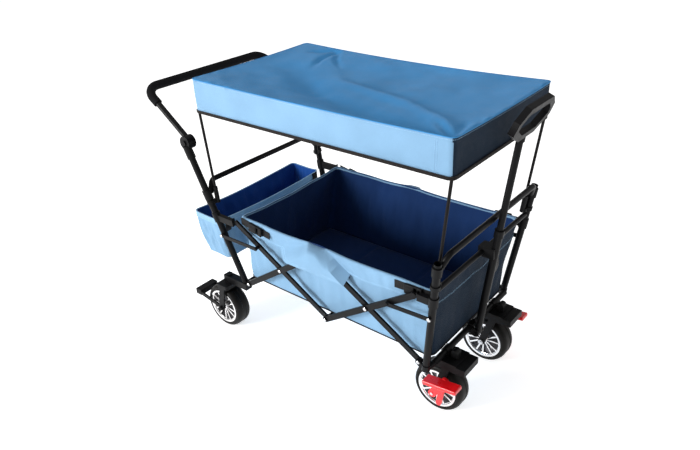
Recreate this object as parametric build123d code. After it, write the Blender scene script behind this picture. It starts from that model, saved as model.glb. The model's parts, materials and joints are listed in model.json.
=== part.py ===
from build123d import *
import os
from math import atan2, cos, degrees, hypot, radians, sin, tan

# Folding beach cart. Millimetres, +Z up, the floor at z = 0.
# The pieces are drawn about the middle of the scissor, and write() puts the origin at mid length.
# +X is the front, where the pull handle is. The cart is the same on both sides of the XZ plane.
# Each side of the frame lies in its own plane, which leans outward towards the top.
# Side pieces are drawn in that plane as (x, n, w): n is outward from the plane, w is up the plane.

# --- side planes and the double scissor
SPLAY = 6.2              # outward lean of each side plane, degrees
SIDE_Y = 243.0           # half width between the side planes at the low pivots
PIVOT_Z = 228.0          # height of the low pivots
REAR_PIVOT_X = -354.0    # low rear pivot
BAY = 357.0              # length of one scissor bay
FRONT_PIVOT_X = REAR_PIVOT_X + 2 * BAY
RISE = 254.0             # low pivots to high pivots, up the plane
LINK_HEIGHT = 20.0
LINK_THICK = 7.0
LINK_GAP = 1.0           # between the two link layers
PIN_R = 4.0
PIN_CLEAR = 0.05         # radial running clearance of a pin in its hole
HEAD_R = 8.0
HEAD_THICK = 3.0

# --- posts
POST_R = 11.0
TUBE_WALL = 1.5
FRONT_POST_X = FRONT_PIVOT_X + 25.5     # axis of the front post beside the low pivot
FRONT_LEAN = 8.0         # degrees forward
FRONT_POST_TOP = 390.0   # up the plane
REAR_POST_X = -381.0
REAR_LEAN = 14.7         # degrees backward
REAR_POST_TOP = 494.0
POST_FOOT = 0.0          # lower end, up the plane
FIT = 0.1                # clearance of a sleeve round a tube
GAP = 0.5                # clearance of neighbours that do not turn in each other

# --- cross tubes
ARCH_R = 9.0
REAR_ARCH_Z = 602.0
REAR_ARCH_FOOT = 335.0   # where the arch fitting grips the post, up the plane
FRONT_ARCH_X = FRONT_PIVOT_X + 91.0
FRONT_ARCH_Z = 628.0
FRONT_ARCH_FOOT = 364.0
MID_TUBE_R = 8.0
MID_BAR_R = 7.0
MID_TUBE_Z = 516.0
LOW_TUBE_R = 10.0
LOW_TUBE_X = FRONT_PIVOT_X + 38.0
LOW_TUBE_Z = 226.0
REAR_TUBE_X = -386.0
REAR_TUBE_Z = 209.0

# --- wheels
WHEEL_R = 85.0
WHEEL_WIDTH = 62.0
TYRE_WALL = 18.0
RIM_R = WHEEL_R - TYRE_WALL
RIM_WALL = 6.0
HUB_R = 18.0
SPOKES = 6
SPOKE_WIDTH = 13.0
AXLE_R = 5.0
FRONT_WHEEL_X = FRONT_PIVOT_X + 23.0
FRONT_WHEEL_Y = 146.0
REAR_WHEEL_X = -493.0
SWIVEL_X = -466.0
SWIVEL_Y = SIDE_Y - 2.0
FORK_GAP = 3.0           # tyre to fork leg
LEG_THICK = 7.0
LEG_WIDTH = 24.0
SWIVEL_PIN_R = 6.0
ARM_LOW, ARM_TOP = 195.5, 222.0   # box-section arm that carries the caster
EAR_WIDTH = 20.0
KICK_BAR_REACH = 125.0   # wheel centre to the kick bar behind it
KICK_BAR_Z = 108.0

# --- brake pedals
PEDAL_LENGTH = 116.0
PEDAL_WIDTH = 40.0
PEDAL_THICK = 14.0
PEDAL_TILT = 7.0
PEDAL_RISE = 69.0        # plate centre above the axle
PEDAL_AHEAD = 42.0       # plate centre ahead of the axle
PEDAL_GAP = 8.5          # fork leg to pedal
PEDAL_STEM = 9.0

# --- pull handle
PULL_PIVOT_X = FRONT_PIVOT_X + 60.0
PULL_PIVOT_Z = 214.0
PULL_LEAN = 7.3          # degrees forward, stowed in its clip
PULL_OUTER_R = 12.0
PULL_OUTER_WALL = 1.9
PULL_OUTER_LENGTH = 382.0
PULL_INNER_R = PULL_OUTER_R - PULL_OUTER_WALL - FIT
PULL_TOTAL = 660.0       # pivot to the foot of the grip
PULL_OVERLAP = 70.0      # inner tube left inside the outer one
GRIP_LEAN = 22.0
GRIP_HEIGHT = 124.0
GRIP_SEAT = 0.2          # inner tube's end to the grip's neck
GRIP_R = 9.0
GRIP_WALL = 19.0

# --- push handle
HINGE_X = -519.0
HINGE_Z = 742.0
HINGE_R = 23.0
HINGE_HALF = 15.0        # thickness of each hinge half
HINGE_Y = SIDE_Y + 59.0          # outer face of the fixed half
HINGE_PIN_R = 5.0
BUTTON_R = 9.0
HANDLE_R = 10.0
HANDLE_X = -725.0
HANDLE_Z = 885.0
HANDLE_BEND = 48.0
FOAM_R = 15.0

# --- canopy
CANOPY_REAR = -478.0
CANOPY_FRONT = FRONT_PIVOT_X + 106.0
CANOPY_Y = SIDE_Y + 26.5
CANOPY_LOW = 845.0
CANOPY_TOP = 957.0
FABRIC = 3.0
RIM_ROD_R = 4.0
RIM_TUBE_R = 5.2
RIM_BEND = 16.0
POLE_R = 4.5
POLE_FOOT_Y = SIDE_Y + 11.0
SOCKET_LOW = 528.0
SOCKET_TOP = 585.0
SOCKET_R = 8.0
CLAMP_HEIGHT = 13.0

# --- tub and basket
TUB_SEAT = 0.3           # tub floor above the bar that it rests on
TUB_TOP = 505.0
TUB_LOW_REAR, TUB_LOW_FRONT, TUB_LOW_Y = -376.0, FRONT_PIVOT_X + 28.0, SIDE_Y - 26.0
TUB_TOP_REAR, TUB_TOP_FRONT, TUB_TOP_Y = -346.0, FRONT_PIVOT_X + 51.0, SIDE_Y + 10.0
TUB_WALL = 3.0
MAT_THICK = 8.0
BASKET_LOW, BASKET_TOP = 288.0, 461.0
BASKET_REAR, BASKET_FRONT, BASKET_Y = -592.0, -450.0, SIDE_Y + 17.0

os.makedirs("parts", exist_ok=True)

LINK_ANGLE = atan2(RISE, BAY)
LINK_LENGTH = hypot(RISE, BAY)
MID_X = REAR_PIVOT_X + BAY
LAYER = LINK_GAP / 2 + LINK_THICK / 2
INNER_FACE = LINK_GAP / 2 + LINK_THICK + GAP
MID_BAR_Z = PIVOT_Z + INNER_FACE * sin(radians(SPLAY))
TUB_LOW = MID_BAR_Z + MID_BAR_R + TUB_SEAT
STAY_THICK = 3.5
STAY_N = POST_R + 1.0 + STAY_THICK / 2
STAY_REACH = 110.0       # stay's pin on the link, from the link's high end
STAY_WIDTH = 14.0
STAY_HEAD_R = 6.0
FOLD = 35.0              # degrees that a link turns to fold the cart
TRAVEL = 2 * LINK_LENGTH * (cos(LINK_ANGLE) - cos(LINK_ANGLE + radians(FOLD)))


REAR_TIP_X = HANDLE_X - FOAM_R
FRONT_TIP_X = (PULL_PIVOT_X + (PULL_TOTAL + GRIP_SEAT) * sin(radians(PULL_LEAN))
               + GRIP_HEIGHT * sin(radians(GRIP_LEAN)) + GRIP_R * cos(radians(GRIP_LEAN)))
MID_LENGTH_X = (REAR_TIP_X + FRONT_TIP_X) / 2


def write(name, *solids):
    """One STEP file for each node; a node of several pieces is a compound."""
    flat = [Pos(-MID_LENGTH_X, 0, 0) * solid for item in solids for solid in item.solids()]
    shape = flat[0] if len(flat) == 1 else Compound(children=flat)
    export_step(shape, f"parts/{name}.step")


def far(shape):
    """Place a piece drawn in a side plane on the +Y side."""
    return Location((0, SIDE_Y, PIVOT_Z), (-SPLAY, 0, 0)) * shape


def mirrored(shape):
    return mirror(shape, about=Plane.XZ)


def near(shape):
    return mirrored(far(shape))


def bar_y(x, z, radius, low, high):
    """Cylinder along Y between two y values."""
    place = Location((x, (low + high) / 2, z), (90, 0, 0))
    return place * Cylinder(radius, high - low)


def box(low, high):
    size = [b - a for a, b in zip(low, high)]
    centre = [(a + b) / 2 for a, b in zip(low, high)]
    return Pos(*centre) * Box(*size)


def rod(points, radius, bend=None, bore=None):
    """Round rod, or a tube where bore is given, along straight runs with bent corners."""
    path = FilletPolyline(*points, radius=bend) if bend else Polyline(*points)
    start = Plane(origin=path @ 0, z_dir=path % 0)
    solid = sweep(start * Circle(radius), path=path)
    if bore:
        solid -= sweep(start * Circle(bore), path=path)
    return solid


def slot_bar(start, end, width, low, high):
    """Flat bar with round ends in the XZ plane, between two y values."""
    length = hypot(end[0] - start[0], end[1] - start[1])
    tilt = degrees(atan2(end[1] - start[1], end[0] - start[0]))
    middle = ((start[0] + end[0]) / 2, (low + high) / 2, (start[1] + end[1]) / 2)
    flat = extrude(SlotCenterToCenter(length, width), (high - low) / 2, both=True)
    return Location(middle) * Rot(Y=-tilt) * Rot(X=90) * flat


def front_post_x(w):
    return FRONT_POST_X + w * tan(radians(FRONT_LEAN))


def rear_post_x(w):
    return REAR_POST_X - w * tan(radians(REAR_LEAN))


def up_plane(z):
    """Distance up the side plane that reaches height z."""
    return (z - PIVOT_Z) / cos(radians(SPLAY))


def plane_y(z):
    return SIDE_Y + (z - PIVOT_Z) * tan(radians(SPLAY))


# --- double scissor ---------------------------------------------------------

def link(start, end, layer, holes, pins):
    """One scissor link. Its pins reach through the neighbour link and end in a head."""
    low, high = layer - LINK_THICK / 2, layer + LINK_THICK / 2
    bar = slot_bar(start, end, LINK_HEIGHT, low, high)
    for x, w in holes:
        bar -= bar_y(x, w, PIN_R + PIN_CLEAR, low - 1, high + 1)
    rivets = []
    away = 1 if layer < 0 else -1
    for x, w in pins:
        tip = away * (LINK_GAP / 2 + LINK_THICK + GAP)
        bar -= bar_y(x, w, PIN_R, low - 1, high + 1)
        shank = bar_y(x, w, PIN_R, *sorted((layer - away * LINK_THICK / 2, tip + away * 0.1)))
        head = bar_y(x, w, HEAD_R, *sorted((tip, tip + away * HEAD_THICK)))
        rivets.append(shank + head)
    return bar, rivets


REAR_LOW, REAR_HIGH = (REAR_PIVOT_X, 0), (REAR_PIVOT_X, RISE)
MID_LOW, MID_HIGH = (MID_X, 0), (MID_X, RISE)
FRONT_LOW, FRONT_HIGH = (FRONT_PIVOT_X, 0), (FRONT_PIVOT_X, RISE)
CROSS_1 = (REAR_PIVOT_X + BAY / 2, RISE / 2)
CROSS_2 = (MID_X + BAY / 2, RISE / 2)


def scissor():
    link_a = link(REAR_HIGH, MID_LOW, -LAYER, [CROSS_1, MID_LOW], [])
    link_b = link(REAR_LOW, MID_HIGH, LAYER, [REAR_LOW], [CROSS_1, MID_HIGH])
    link_c = link(MID_LOW, FRONT_HIGH, LAYER, [MID_LOW, CROSS_2], [])
    link_d = link(MID_HIGH, FRONT_LOW, -LAYER, [MID_HIGH, FRONT_LOW], [CROSS_2])
    pieces = dict(link_a=link_a, link_b=link_b, link_c=link_c, link_d=link_d)
    for name, (bar, rivets) in pieces.items():
        write(f"{name}_near", near(bar), *[near(rivet) for rivet in rivets])
        write(f"{name}_far", far(bar), *[far(rivet) for rivet in rivets])


def mid_cross_bar():
    """Round bar under the tub that joins the low middle pivots; its ends are the pivot pins."""
    inner = INNER_FACE
    reach = SIDE_Y - inner * cos(radians(SPLAY)) - 1
    bar = bar_y(MID_X, MID_BAR_Z, MID_BAR_R, -reach, reach)
    pin = bar_y(MID_X, 0, PIN_R, -inner - 4, inner) + bar_y(MID_X, 0, HEAD_R, inner, inner + HEAD_THICK)
    shoulder = bar_y(MID_X, 0, MID_BAR_R + 1.5, -inner - 5, -inner)
    end = pin + shoulder
    write("mid_cross_bar", bar + far(end) + near(end))


def stay_geometry(high, side):
    """Post pin and link pin of a stay: the post pin is as far from the link pin open as folded.

    side is +1 where the link's high end is over the rear pivot and -1 over the front pivot."""
    def on_link(angle):
        return (high[0] + side * STAY_REACH * cos(angle), (LINK_LENGTH - STAY_REACH) * sin(angle))

    opened, folded = on_link(LINK_ANGLE), on_link(LINK_ANGLE + radians(FOLD))
    middle = ((opened[0] + folded[0]) / 2, (opened[1] + folded[1]) / 2)
    chord = (folded[0] - opened[0], folded[1] - opened[1])
    if side > 0:
        foot, slope = REAR_POST_X, -tan(radians(REAR_LEAN))
    else:
        foot, slope = FRONT_POST_X, tan(radians(FRONT_LEAN))
    w = (chord[0] * (middle[0] - foot) + chord[1] * middle[1]) / (chord[1] + chord[0] * slope)
    return (foot + slope * w, w), opened


def stays():
    both = (("rear_stay", REAR_HIGH, 1, -LAYER), ("front_stay", FRONT_HIGH, -1, LAYER))
    for name, high, side, link_layer in both:
        post_pin, link_pin = stay_geometry(high, side)
        low, top = STAY_N - STAY_THICK / 2, STAY_N + STAY_THICK / 2
        stay = slot_bar(post_pin, link_pin, STAY_WIDTH, low, top)
        stay += bar_y(*post_pin, PIN_R, POST_R - TUBE_WALL - 2, low)
        stay += bar_y(*post_pin, STAY_HEAD_R, top, top + 2)
        stay += bar_y(*link_pin, STAY_HEAD_R, link_layer + LINK_THICK / 2 + GAP, low)
        stay += bar_y(*link_pin, STAY_HEAD_R, top, top + 2)
        write(f"{name}_near", near(stay))
        write(f"{name}_far", far(stay))


# --- rear frame -------------------------------------------------------------

def post(x_at, top, pin):
    tube = rod([(x_at(POST_FOOT), 0, POST_FOOT), (x_at(top), 0, top)], POST_R, bore=POST_R - TUBE_WALL)
    return tube - bar_y(*pin, PIN_R + PIN_CLEAR, 0, 2 * POST_R)


def collar(x_at, w, length, radius):
    """Ring round a post, centred at height w, ready to join to a fitting."""
    direction = (x_at(w + 1) - x_at(w), 0, 1)
    plane = Plane(origin=(x_at(w), 0, w), z_dir=direction)
    return extrude(plane * Circle(radius), length / 2, both=True)


def post_bore(x_at, w, length):
    return collar(x_at, w, length + 2, POST_R + FIT)


def arch(x_at, foot, arch_x, arch_z, gauge):
    """Cross tube with turned-down ends, and the post sleeves that hold it."""
    foot_z = PIVOT_Z + foot * cos(radians(SPLAY))
    end_y = plane_y(foot_z) - POST_R - 2
    shoulder = end_y - 20
    points = [(x_at(foot), -end_y, foot_z), (arch_x, -shoulder, arch_z),
              (arch_x, shoulder, arch_z), (x_at(foot), end_y, foot_z)]
    tube = rod(points, ARCH_R, bend=22.0)
    sleeve = far(collar(x_at, foot, gauge, POST_R + 3.5) - post_bore(x_at, foot, gauge))
    sleeve -= rod(points, ARCH_R + FIT, bend=22.0)
    room = far(collar(x_at, foot, 3 * gauge, POST_R + 3.0))
    return tube - room - mirrored(room), sleeve


def pole_line(post_x, rim_x):
    """Foot and head of a straight canopy pole, from its socket to the rim."""
    slope = (rim_x - post_x) / (CANOPY_LOW - SOCKET_TOP)
    low_x = post_x - slope * (SOCKET_TOP - SOCKET_LOW)
    return (low_x, POLE_FOOT_Y, SOCKET_LOW), (rim_x, RIM_Y, CANOPY_LOW)


def pole_and_socket(x_at, post_x, rim_x):
    foot, head = pole_line(post_x, rim_x)
    direction = Vector(*head) - Vector(*foot)
    direction = direction.normalized()
    base = Vector(*foot)
    pole = rod([tuple(base + direction * 6), head], POLE_R)
    top = base + direction * (SOCKET_TOP - SOCKET_LOW)
    socket = rod([foot, tuple(top)], SOCKET_R)
    height = SOCKET_LOW + CLAMP_HEIGHT / 2
    w = up_plane(height)
    ring = far(collar(x_at, w, CLAMP_HEIGHT, POST_R + 3))
    web_low = (min(foot[0], x_at(w)) - 4, POLE_FOOT_Y - 2, SOCKET_LOW + 1)
    web_high = (max(foot[0], x_at(w)) + 4, plane_y(height) - 2, SOCKET_LOW + CLAMP_HEIGHT - 1)
    socket += ring + box(web_low, web_high)
    socket -= far(post_bore(x_at, w, 60))
    socket -= rod([tuple(base + direction * 5.5), tuple(top + direction * 10)], POLE_R + FIT)
    return pole, socket


RIM_INSET = FABRIC + GAP + RIM_TUBE_R
RIM_Y = CANOPY_Y - RIM_INSET
RIM_REAR_X = CANOPY_REAR + RIM_INSET
RIM_FRONT_X = CANOPY_FRONT - RIM_INSET
# The rear rim's tubes end short of the front rim's bend, and its rods short of the rear bend, folded.
RIM_TUBE_END = RIM_FRONT_X - TRAVEL - RIM_BEND - 2
RIM_ROD_TIP = RIM_REAR_X + TRAVEL + RIM_BEND + 2
REAR_POLE = (rear_post_x, -455.0, -469.0)
FRONT_POLE = (front_post_x, 426.0, 457.0)


def rear_frame():
    pin, _ = stay_geometry(REAR_HIGH, 1)
    tube = post(rear_post_x, REAR_POST_TOP, pin)
    write("rear_posts", near(tube), far(tube))
    arch_x = rear_post_x(up_plane(REAR_ARCH_Z))
    tube, sleeve = arch(rear_post_x, REAR_ARCH_FOOT, arch_x, REAR_ARCH_Z, 34)
    write("rear_arch", tube)
    write("rear_arch_fittings", sleeve, mirrored(sleeve))
    cross = bar_y(REAR_TUBE_X, REAR_TUBE_Z, LOW_TUBE_R, -SWIVEL_Y + 14.5, SWIVEL_Y - 14.5)
    cross -= bar_y(REAR_TUBE_X, REAR_TUBE_Z, LOW_TUBE_R - TUBE_WALL, -SWIVEL_Y, SWIVEL_Y)
    write("rear_cross_tube", cross)
    bracket = hook_bracket(rear_post_x, REAR_PIVOT_X, 1)
    write("rear_hook_brackets", near(bracket), far(bracket))
    pole, socket = pole_and_socket(*REAR_POLE)
    write("rear_canopy_poles", pole, mirrored(pole))
    write("rear_pole_sockets", socket, mirrored(socket))


def hook_bracket(x_at, pivot_x, side):
    """Bracket on a post that the link's high end rests against when the cart is open."""
    end = pivot_x - side * (LINK_HEIGHT / 2 + 2.5)
    start = x_at(RISE) + side * 4
    low, high = sorted((start, end))
    plate = box((low, -LINK_THICK, RISE - 13), (high, LINK_THICK, RISE + 11))
    lip_low, lip_high = sorted((end, end + side * 2))
    lip = box((lip_low, -LINK_THICK, RISE - 13), (lip_high, LINK_THICK, RISE + 16))
    ring = collar(x_at, RISE, 34, POST_R + 3)
    return plate + lip + ring - post_bore(x_at, RISE, 80)


def caster_arm():
    """Box-section arm from the rear post's foot to the caster's swivel, with the low pivot's ear."""
    arm = box((SWIVEL_X - 18, SWIVEL_Y - 14, ARM_LOW), (REAR_PIVOT_X - 13, SWIVEL_Y + 14, ARM_TOP))
    ear_low, ear_high = -LAYER - LINK_THICK / 2, -LAYER + LINK_THICK / 2
    ear = slot_bar((REAR_PIVOT_X, 0), (REAR_PIVOT_X - 20, -18), EAR_WIDTH, ear_low, ear_high)
    start = INNER_FACE
    pin = bar_y(REAR_PIVOT_X, 0, PIN_R, -LINK_GAP, start + 0.1)
    head = bar_y(REAR_PIVOT_X, 0, HEAD_R, start, start + HEAD_THICK)
    spigot = collar(rear_post_x, 6, 28, POST_R - TUBE_WALL - FIT)
    sleeve = far(spigot) - box((-1000, 0, 0), (1000, 1000, ARM_TOP - 1))
    arm += sleeve
    arm = arm + far(ear) + far(pin) + far(head)
    return arm - Pos(SWIVEL_X, SWIVEL_Y, 200) * Cylinder(SWIVEL_PIN_R + PIN_CLEAR, 100)


# --- casters and wheels -----------------------------------------------------

FORK_IN = WHEEL_WIDTH / 2 + FORK_GAP
FORK_OUT = FORK_IN + LEG_THICK
AXLE_Z = WHEEL_R


def fork_legs(crown_x, crown_z, x, y):
    legs = slot_bar((crown_x, crown_z), (x, AXLE_Z), LEG_WIDTH, y + FORK_IN, y + FORK_OUT)
    return legs + slot_bar((crown_x, crown_z), (x, AXLE_Z), LEG_WIDTH, y - FORK_OUT, y - FORK_IN)


def axle(x, y, spare=(8, 8)):
    """Axle bolt with a head and a nut outside the fork legs; spare is its length beyond each leg."""
    bolt = bar_y(x, AXLE_Z, AXLE_R, y - FORK_OUT - spare[0], y + FORK_OUT + spare[1])
    for side in (-1, 1):
        low, high = sorted((y + side * (FORK_OUT + 0.2), y + side * (FORK_OUT + 6)))
        bolt += bar_y(x, AXLE_Z, 9.0, low, high)
    return bolt


def axle_bore(x, y):
    return bar_y(x, AXLE_Z, AXLE_R + PIN_CLEAR, y - 60, y + 60)


def caster(y):
    """Swivel fork with its kick bar, and the axle bolt."""
    crown = box((SWIVEL_X - 34, y - FORK_OUT, 176.0), (SWIVEL_X + 20, y + FORK_OUT, 192.0))
    crown = fillet(crown.edges().filter_by(Axis.Z), 8.0)
    fork = crown + fork_legs(SWIVEL_X - 8, 176.0, REAR_WHEEL_X, y)
    fork += Pos(SWIVEL_X, y, 193.5) * Cylinder(16.0, 3.0)
    pin_top = ARM_TOP + 1.5
    fork += Pos(SWIVEL_X, y, (190 + pin_top) / 2) * Cylinder(SWIVEL_PIN_R, pin_top - 190)
    fork += Pos(SWIVEL_X, y, pin_top + 2) * Cylinder(SWIVEL_PIN_R + 4, 4)
    bar_x = REAR_WHEEL_X - KICK_BAR_REACH
    for side in (-1, 1):
        low, high = sorted((y + side * FORK_IN, y + side * (FORK_OUT - 1)))
        fork += slot_bar((REAR_WHEEL_X, AXLE_Z), (bar_x, KICK_BAR_Z), 14.0, low, high)
    fork += box((bar_x - 14, y - FORK_OUT, KICK_BAR_Z - 11), (bar_x + 14, y + FORK_OUT, KICK_BAR_Z + 11))
    return fork - axle_bore(REAR_WHEEL_X, y), axle(REAR_WHEEL_X, y)


def front_fork(y):
    """Fixed fork under the front cross tube, with its kick bar and lug."""
    crown = box((LOW_TUBE_X - 15, y - FORK_OUT, 184.0), (LOW_TUBE_X + 54, y + FORK_OUT, 212.0))
    fork = crown + box((LOW_TUBE_X + 54, y - FORK_OUT, 186.0), (LOW_TUBE_X + 84, y + FORK_OUT, 208.0))
    fork += bar_y(LOW_TUBE_X, LOW_TUBE_Z, LOW_TUBE_R + 3, y - 14, y + 14)
    fork += box((LOW_TUBE_X - 12, y - 14, 205.0), (LOW_TUBE_X + 12, y + 14, LOW_TUBE_Z))
    fork += bar_y(LOW_TUBE_X + 30, 230.0, 11.0, y - 12, y + 12)
    fork += box((LOW_TUBE_X + 19, y - 12, 205.0), (LOW_TUBE_X + 41, y + 12, 230.0))
    fork += fork_legs(FRONT_WHEEL_X + 34, 186.0, FRONT_WHEEL_X, y)
    fork -= bar_y(LOW_TUBE_X, LOW_TUBE_Z, LOW_TUBE_R + FIT, y - 20, y + 20)
    long_end = PEDAL_GAP + PEDAL_STEM + 3
    spare = (long_end, 8) if y < 0 else (8, long_end)
    return fork - axle_bore(FRONT_WHEEL_X, y), axle(FRONT_WHEEL_X, y, spare)


def wheel(x, y):
    """Tyre, and a spoked rim with a hub bored for the axle."""
    half = WHEEL_WIDTH / 2
    tyre = bar_y(x, AXLE_Z, WHEEL_R, y - half, y + half)
    tyre = fillet(tyre.edges(), 14.0)
    tyre -= bar_y(x, AXLE_Z, RIM_R + FIT, y - half - 1, y + half + 1)
    rim_half = half - 3
    rim = bar_y(x, AXLE_Z, RIM_R, y - rim_half, y + rim_half)
    rim -= bar_y(x, AXLE_Z, RIM_R - RIM_WALL, y - half, y + half)
    for index in range(SPOKES):
        spoke = box((0, y - 18, -SPOKE_WIDTH / 2), (RIM_R - RIM_WALL / 2, y + 18, SPOKE_WIDTH / 2))
        rim += Pos(x, 0, AXLE_Z) * Rot(Y=index * 360 / SPOKES) * spoke
    rim += bar_y(x, AXLE_Z, HUB_R, y - half, y + half)
    rim -= bar_y(x, AXLE_Z, AXLE_R + PIN_CLEAR, y - half - 1, y + half + 1)
    return tyre, rim


def pedal(side):
    """Brake lever on the axle's outer end: a long plate on a tapering stem."""
    inner = side * (FRONT_WHEEL_Y + FORK_OUT + PEDAL_GAP)
    stem_y = sorted((inner, inner + side * PEDAL_STEM))
    plate_y = sorted((inner + side * 4, inner + side * (4 + PEDAL_WIDTH)))
    centre = (FRONT_WHEEL_X + PEDAL_AHEAD, AXLE_Z + PEDAL_RISE)
    plate = box((-PEDAL_LENGTH / 2, plate_y[0], -PEDAL_THICK / 2),
                (PEDAL_LENGTH / 2, plate_y[1], PEDAL_THICK / 2))
    plate = fillet(plate.edges(), 4.0)
    lever = Pos(centre[0], 0, centre[1]) * Rot(Y=-PEDAL_TILT) * plate
    lever += slot_bar((FRONT_WHEEL_X, AXLE_Z), (centre[0], centre[1] - 4), 26.0, *stem_y)
    foot = (FRONT_WHEEL_X + 24, AXLE_Z - 26)
    lever += slot_bar(foot, (centre[0] - 4, centre[1] - 8), 18.0, *stem_y)
    return lever - bar_y(FRONT_WHEEL_X, AXLE_Z, AXLE_R + PIN_CLEAR, -400, 400)


def wheels():
    for name, y in (("near", -SWIVEL_Y), ("far", SWIVEL_Y)):
        fork, bolt = caster(y)
        write(f"caster_fork_{name}", fork, bolt)
        tyre, rim = wheel(REAR_WHEEL_X, y)
        write(f"rear_tyre_{name}", tyre)
        write(f"rear_rim_{name}", rim)
    for name, side in (("near", -1), ("far", 1)):
        tyre, rim = wheel(FRONT_WHEEL_X, side * FRONT_WHEEL_Y)
        write(f"front_tyre_{name}", tyre)
        write(f"front_rim_{name}", rim)
        write(f"brake_pedal_{name}", pedal(side))
    near_fork, near_axle = front_fork(-FRONT_WHEEL_Y)
    far_fork, far_axle = front_fork(FRONT_WHEEL_Y)
    write("front_forks", near_fork, far_fork)
    write("front_axles", near_axle, far_axle)
    arm = caster_arm()
    write("caster_arms", arm, mirrored(arm))


# --- front frame ------------------------------------------------------------

def front_frame():
    pin, _ = stay_geometry(FRONT_HIGH, -1)
    tube = post(front_post_x, FRONT_POST_TOP, pin)
    write("front_posts", near(tube), far(tube))
    tube, sleeve = arch(front_post_x, FRONT_ARCH_FOOT, FRONT_ARCH_X, FRONT_ARCH_Z, 30)
    write("front_arch", tube)
    write("front_arch_fittings", sleeve, mirrored(sleeve))
    mid_x = front_post_x(up_plane(MID_TUBE_Z))
    reach = plane_y(MID_TUBE_Z) - POST_R - 1.2
    mid = bar_y(mid_x, MID_TUBE_Z, MID_TUBE_R, -reach, reach)
    write("front_mid_tube", mid - bar_y(mid_x, MID_TUBE_Z, MID_TUBE_R - TUBE_WALL, -reach - 1, reach + 1))
    write("front_cross_tube", front_cross_tube())
    bracket = hook_bracket(front_post_x, FRONT_PIVOT_X, -1)
    write("front_hook_brackets", near(bracket), far(bracket))
    pole, socket = pole_and_socket(*FRONT_POLE)
    write("front_canopy_poles", pole, mirrored(pole))
    write("front_pole_sockets", socket, mirrored(socket))
    write("handle_clip", handle_clip(mid_x))


def front_cross_tube():
    """Low tube between the front posts: feet for the posts, ears for the links, pull handle lugs."""
    reach = SIDE_Y - 20
    tube = bar_y(LOW_TUBE_X, LOW_TUBE_Z, LOW_TUBE_R, -reach, reach)
    foot = collar(front_post_x, POST_FOOT - 11.3, 22, POST_R + 2)
    foot += collar(front_post_x, 8, 28, POST_R - TUBE_WALL - FIT)
    low_ear, high_ear = LAYER - LINK_THICK / 2, LAYER + LINK_THICK / 2
    ear = slot_bar((FRONT_PIVOT_X, 0), (FRONT_POST_X - 6, -16), 18.0, low_ear, high_ear)
    start = -INNER_FACE
    ear += bar_y(FRONT_PIVOT_X, 0, PIN_R, start - 0.1, LINK_GAP)
    ear += bar_y(FRONT_PIVOT_X, 0, HEAD_R, start - HEAD_THICK, start)
    end = far(foot + ear)
    bridge_end = (FRONT_POST_X - 2, SIDE_Y - 2, PIVOT_Z - 18)
    bridge = rod([(LOW_TUBE_X, reach - 6, LOW_TUBE_Z), bridge_end], LOW_TUBE_R)
    tube = tube + end + mirrored(end) + bridge + mirrored(bridge)
    lug_low, lug_high = PULL_OUTER_R + GAP, PULL_OUTER_R + GAP + 5
    for side in (-1, 1):
        low, high = sorted((side * lug_low, side * lug_high))
        tube += slot_bar((LOW_TUBE_X, LOW_TUBE_Z), (PULL_PIVOT_X, PULL_PIVOT_Z), 26.0, low, high)
    tube += bar_y(PULL_PIVOT_X, PULL_PIVOT_Z, PIN_R, -lug_high - 3, lug_high + 3)
    tube -= bar_y(LOW_TUBE_X, LOW_TUBE_Z, 5 * LOW_TUBE_R, -lug_low, lug_low)
    tube += bar_y(PULL_PIVOT_X, PULL_PIVOT_Z, PIN_R, -lug_low, lug_low)
    return tube + pull_web(lug_low)


def pull_web(half):
    """Back of the pull handle's clevis, behind the handle's foot."""
    return box((LOW_TUBE_X - 10, -half, LOW_TUBE_Z - 10), (LOW_TUBE_X - 3, half, LOW_TUBE_Z + 10))


def handle_clip(mid_x):
    """Open clip on the mid tube that the pull handle snaps into."""
    stem_x = PULL_PIVOT_X + (MID_TUBE_Z - PULL_PIVOT_Z) * tan(radians(PULL_LEAN))
    body = box((mid_x - 13, -19, MID_TUBE_Z - 16), (stem_x + 6, 19, MID_TUBE_Z + 16))
    body -= bar_y(mid_x, MID_TUBE_Z, MID_TUBE_R + FIT, -30, 30)
    way = box((stem_x, -PULL_OUTER_R - GAP, -40), (stem_x + 60, PULL_OUTER_R + GAP, 40))
    groove = Pos(stem_x, 0, 0) * Cylinder(PULL_OUTER_R + GAP, 80) + way
    return body - Pos(stem_x, 0, MID_TUBE_Z) * Rot(Y=PULL_LEAN) * Pos(-stem_x, 0, 0) * groove


# --- pull handle ------------------------------------------------------------

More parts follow.
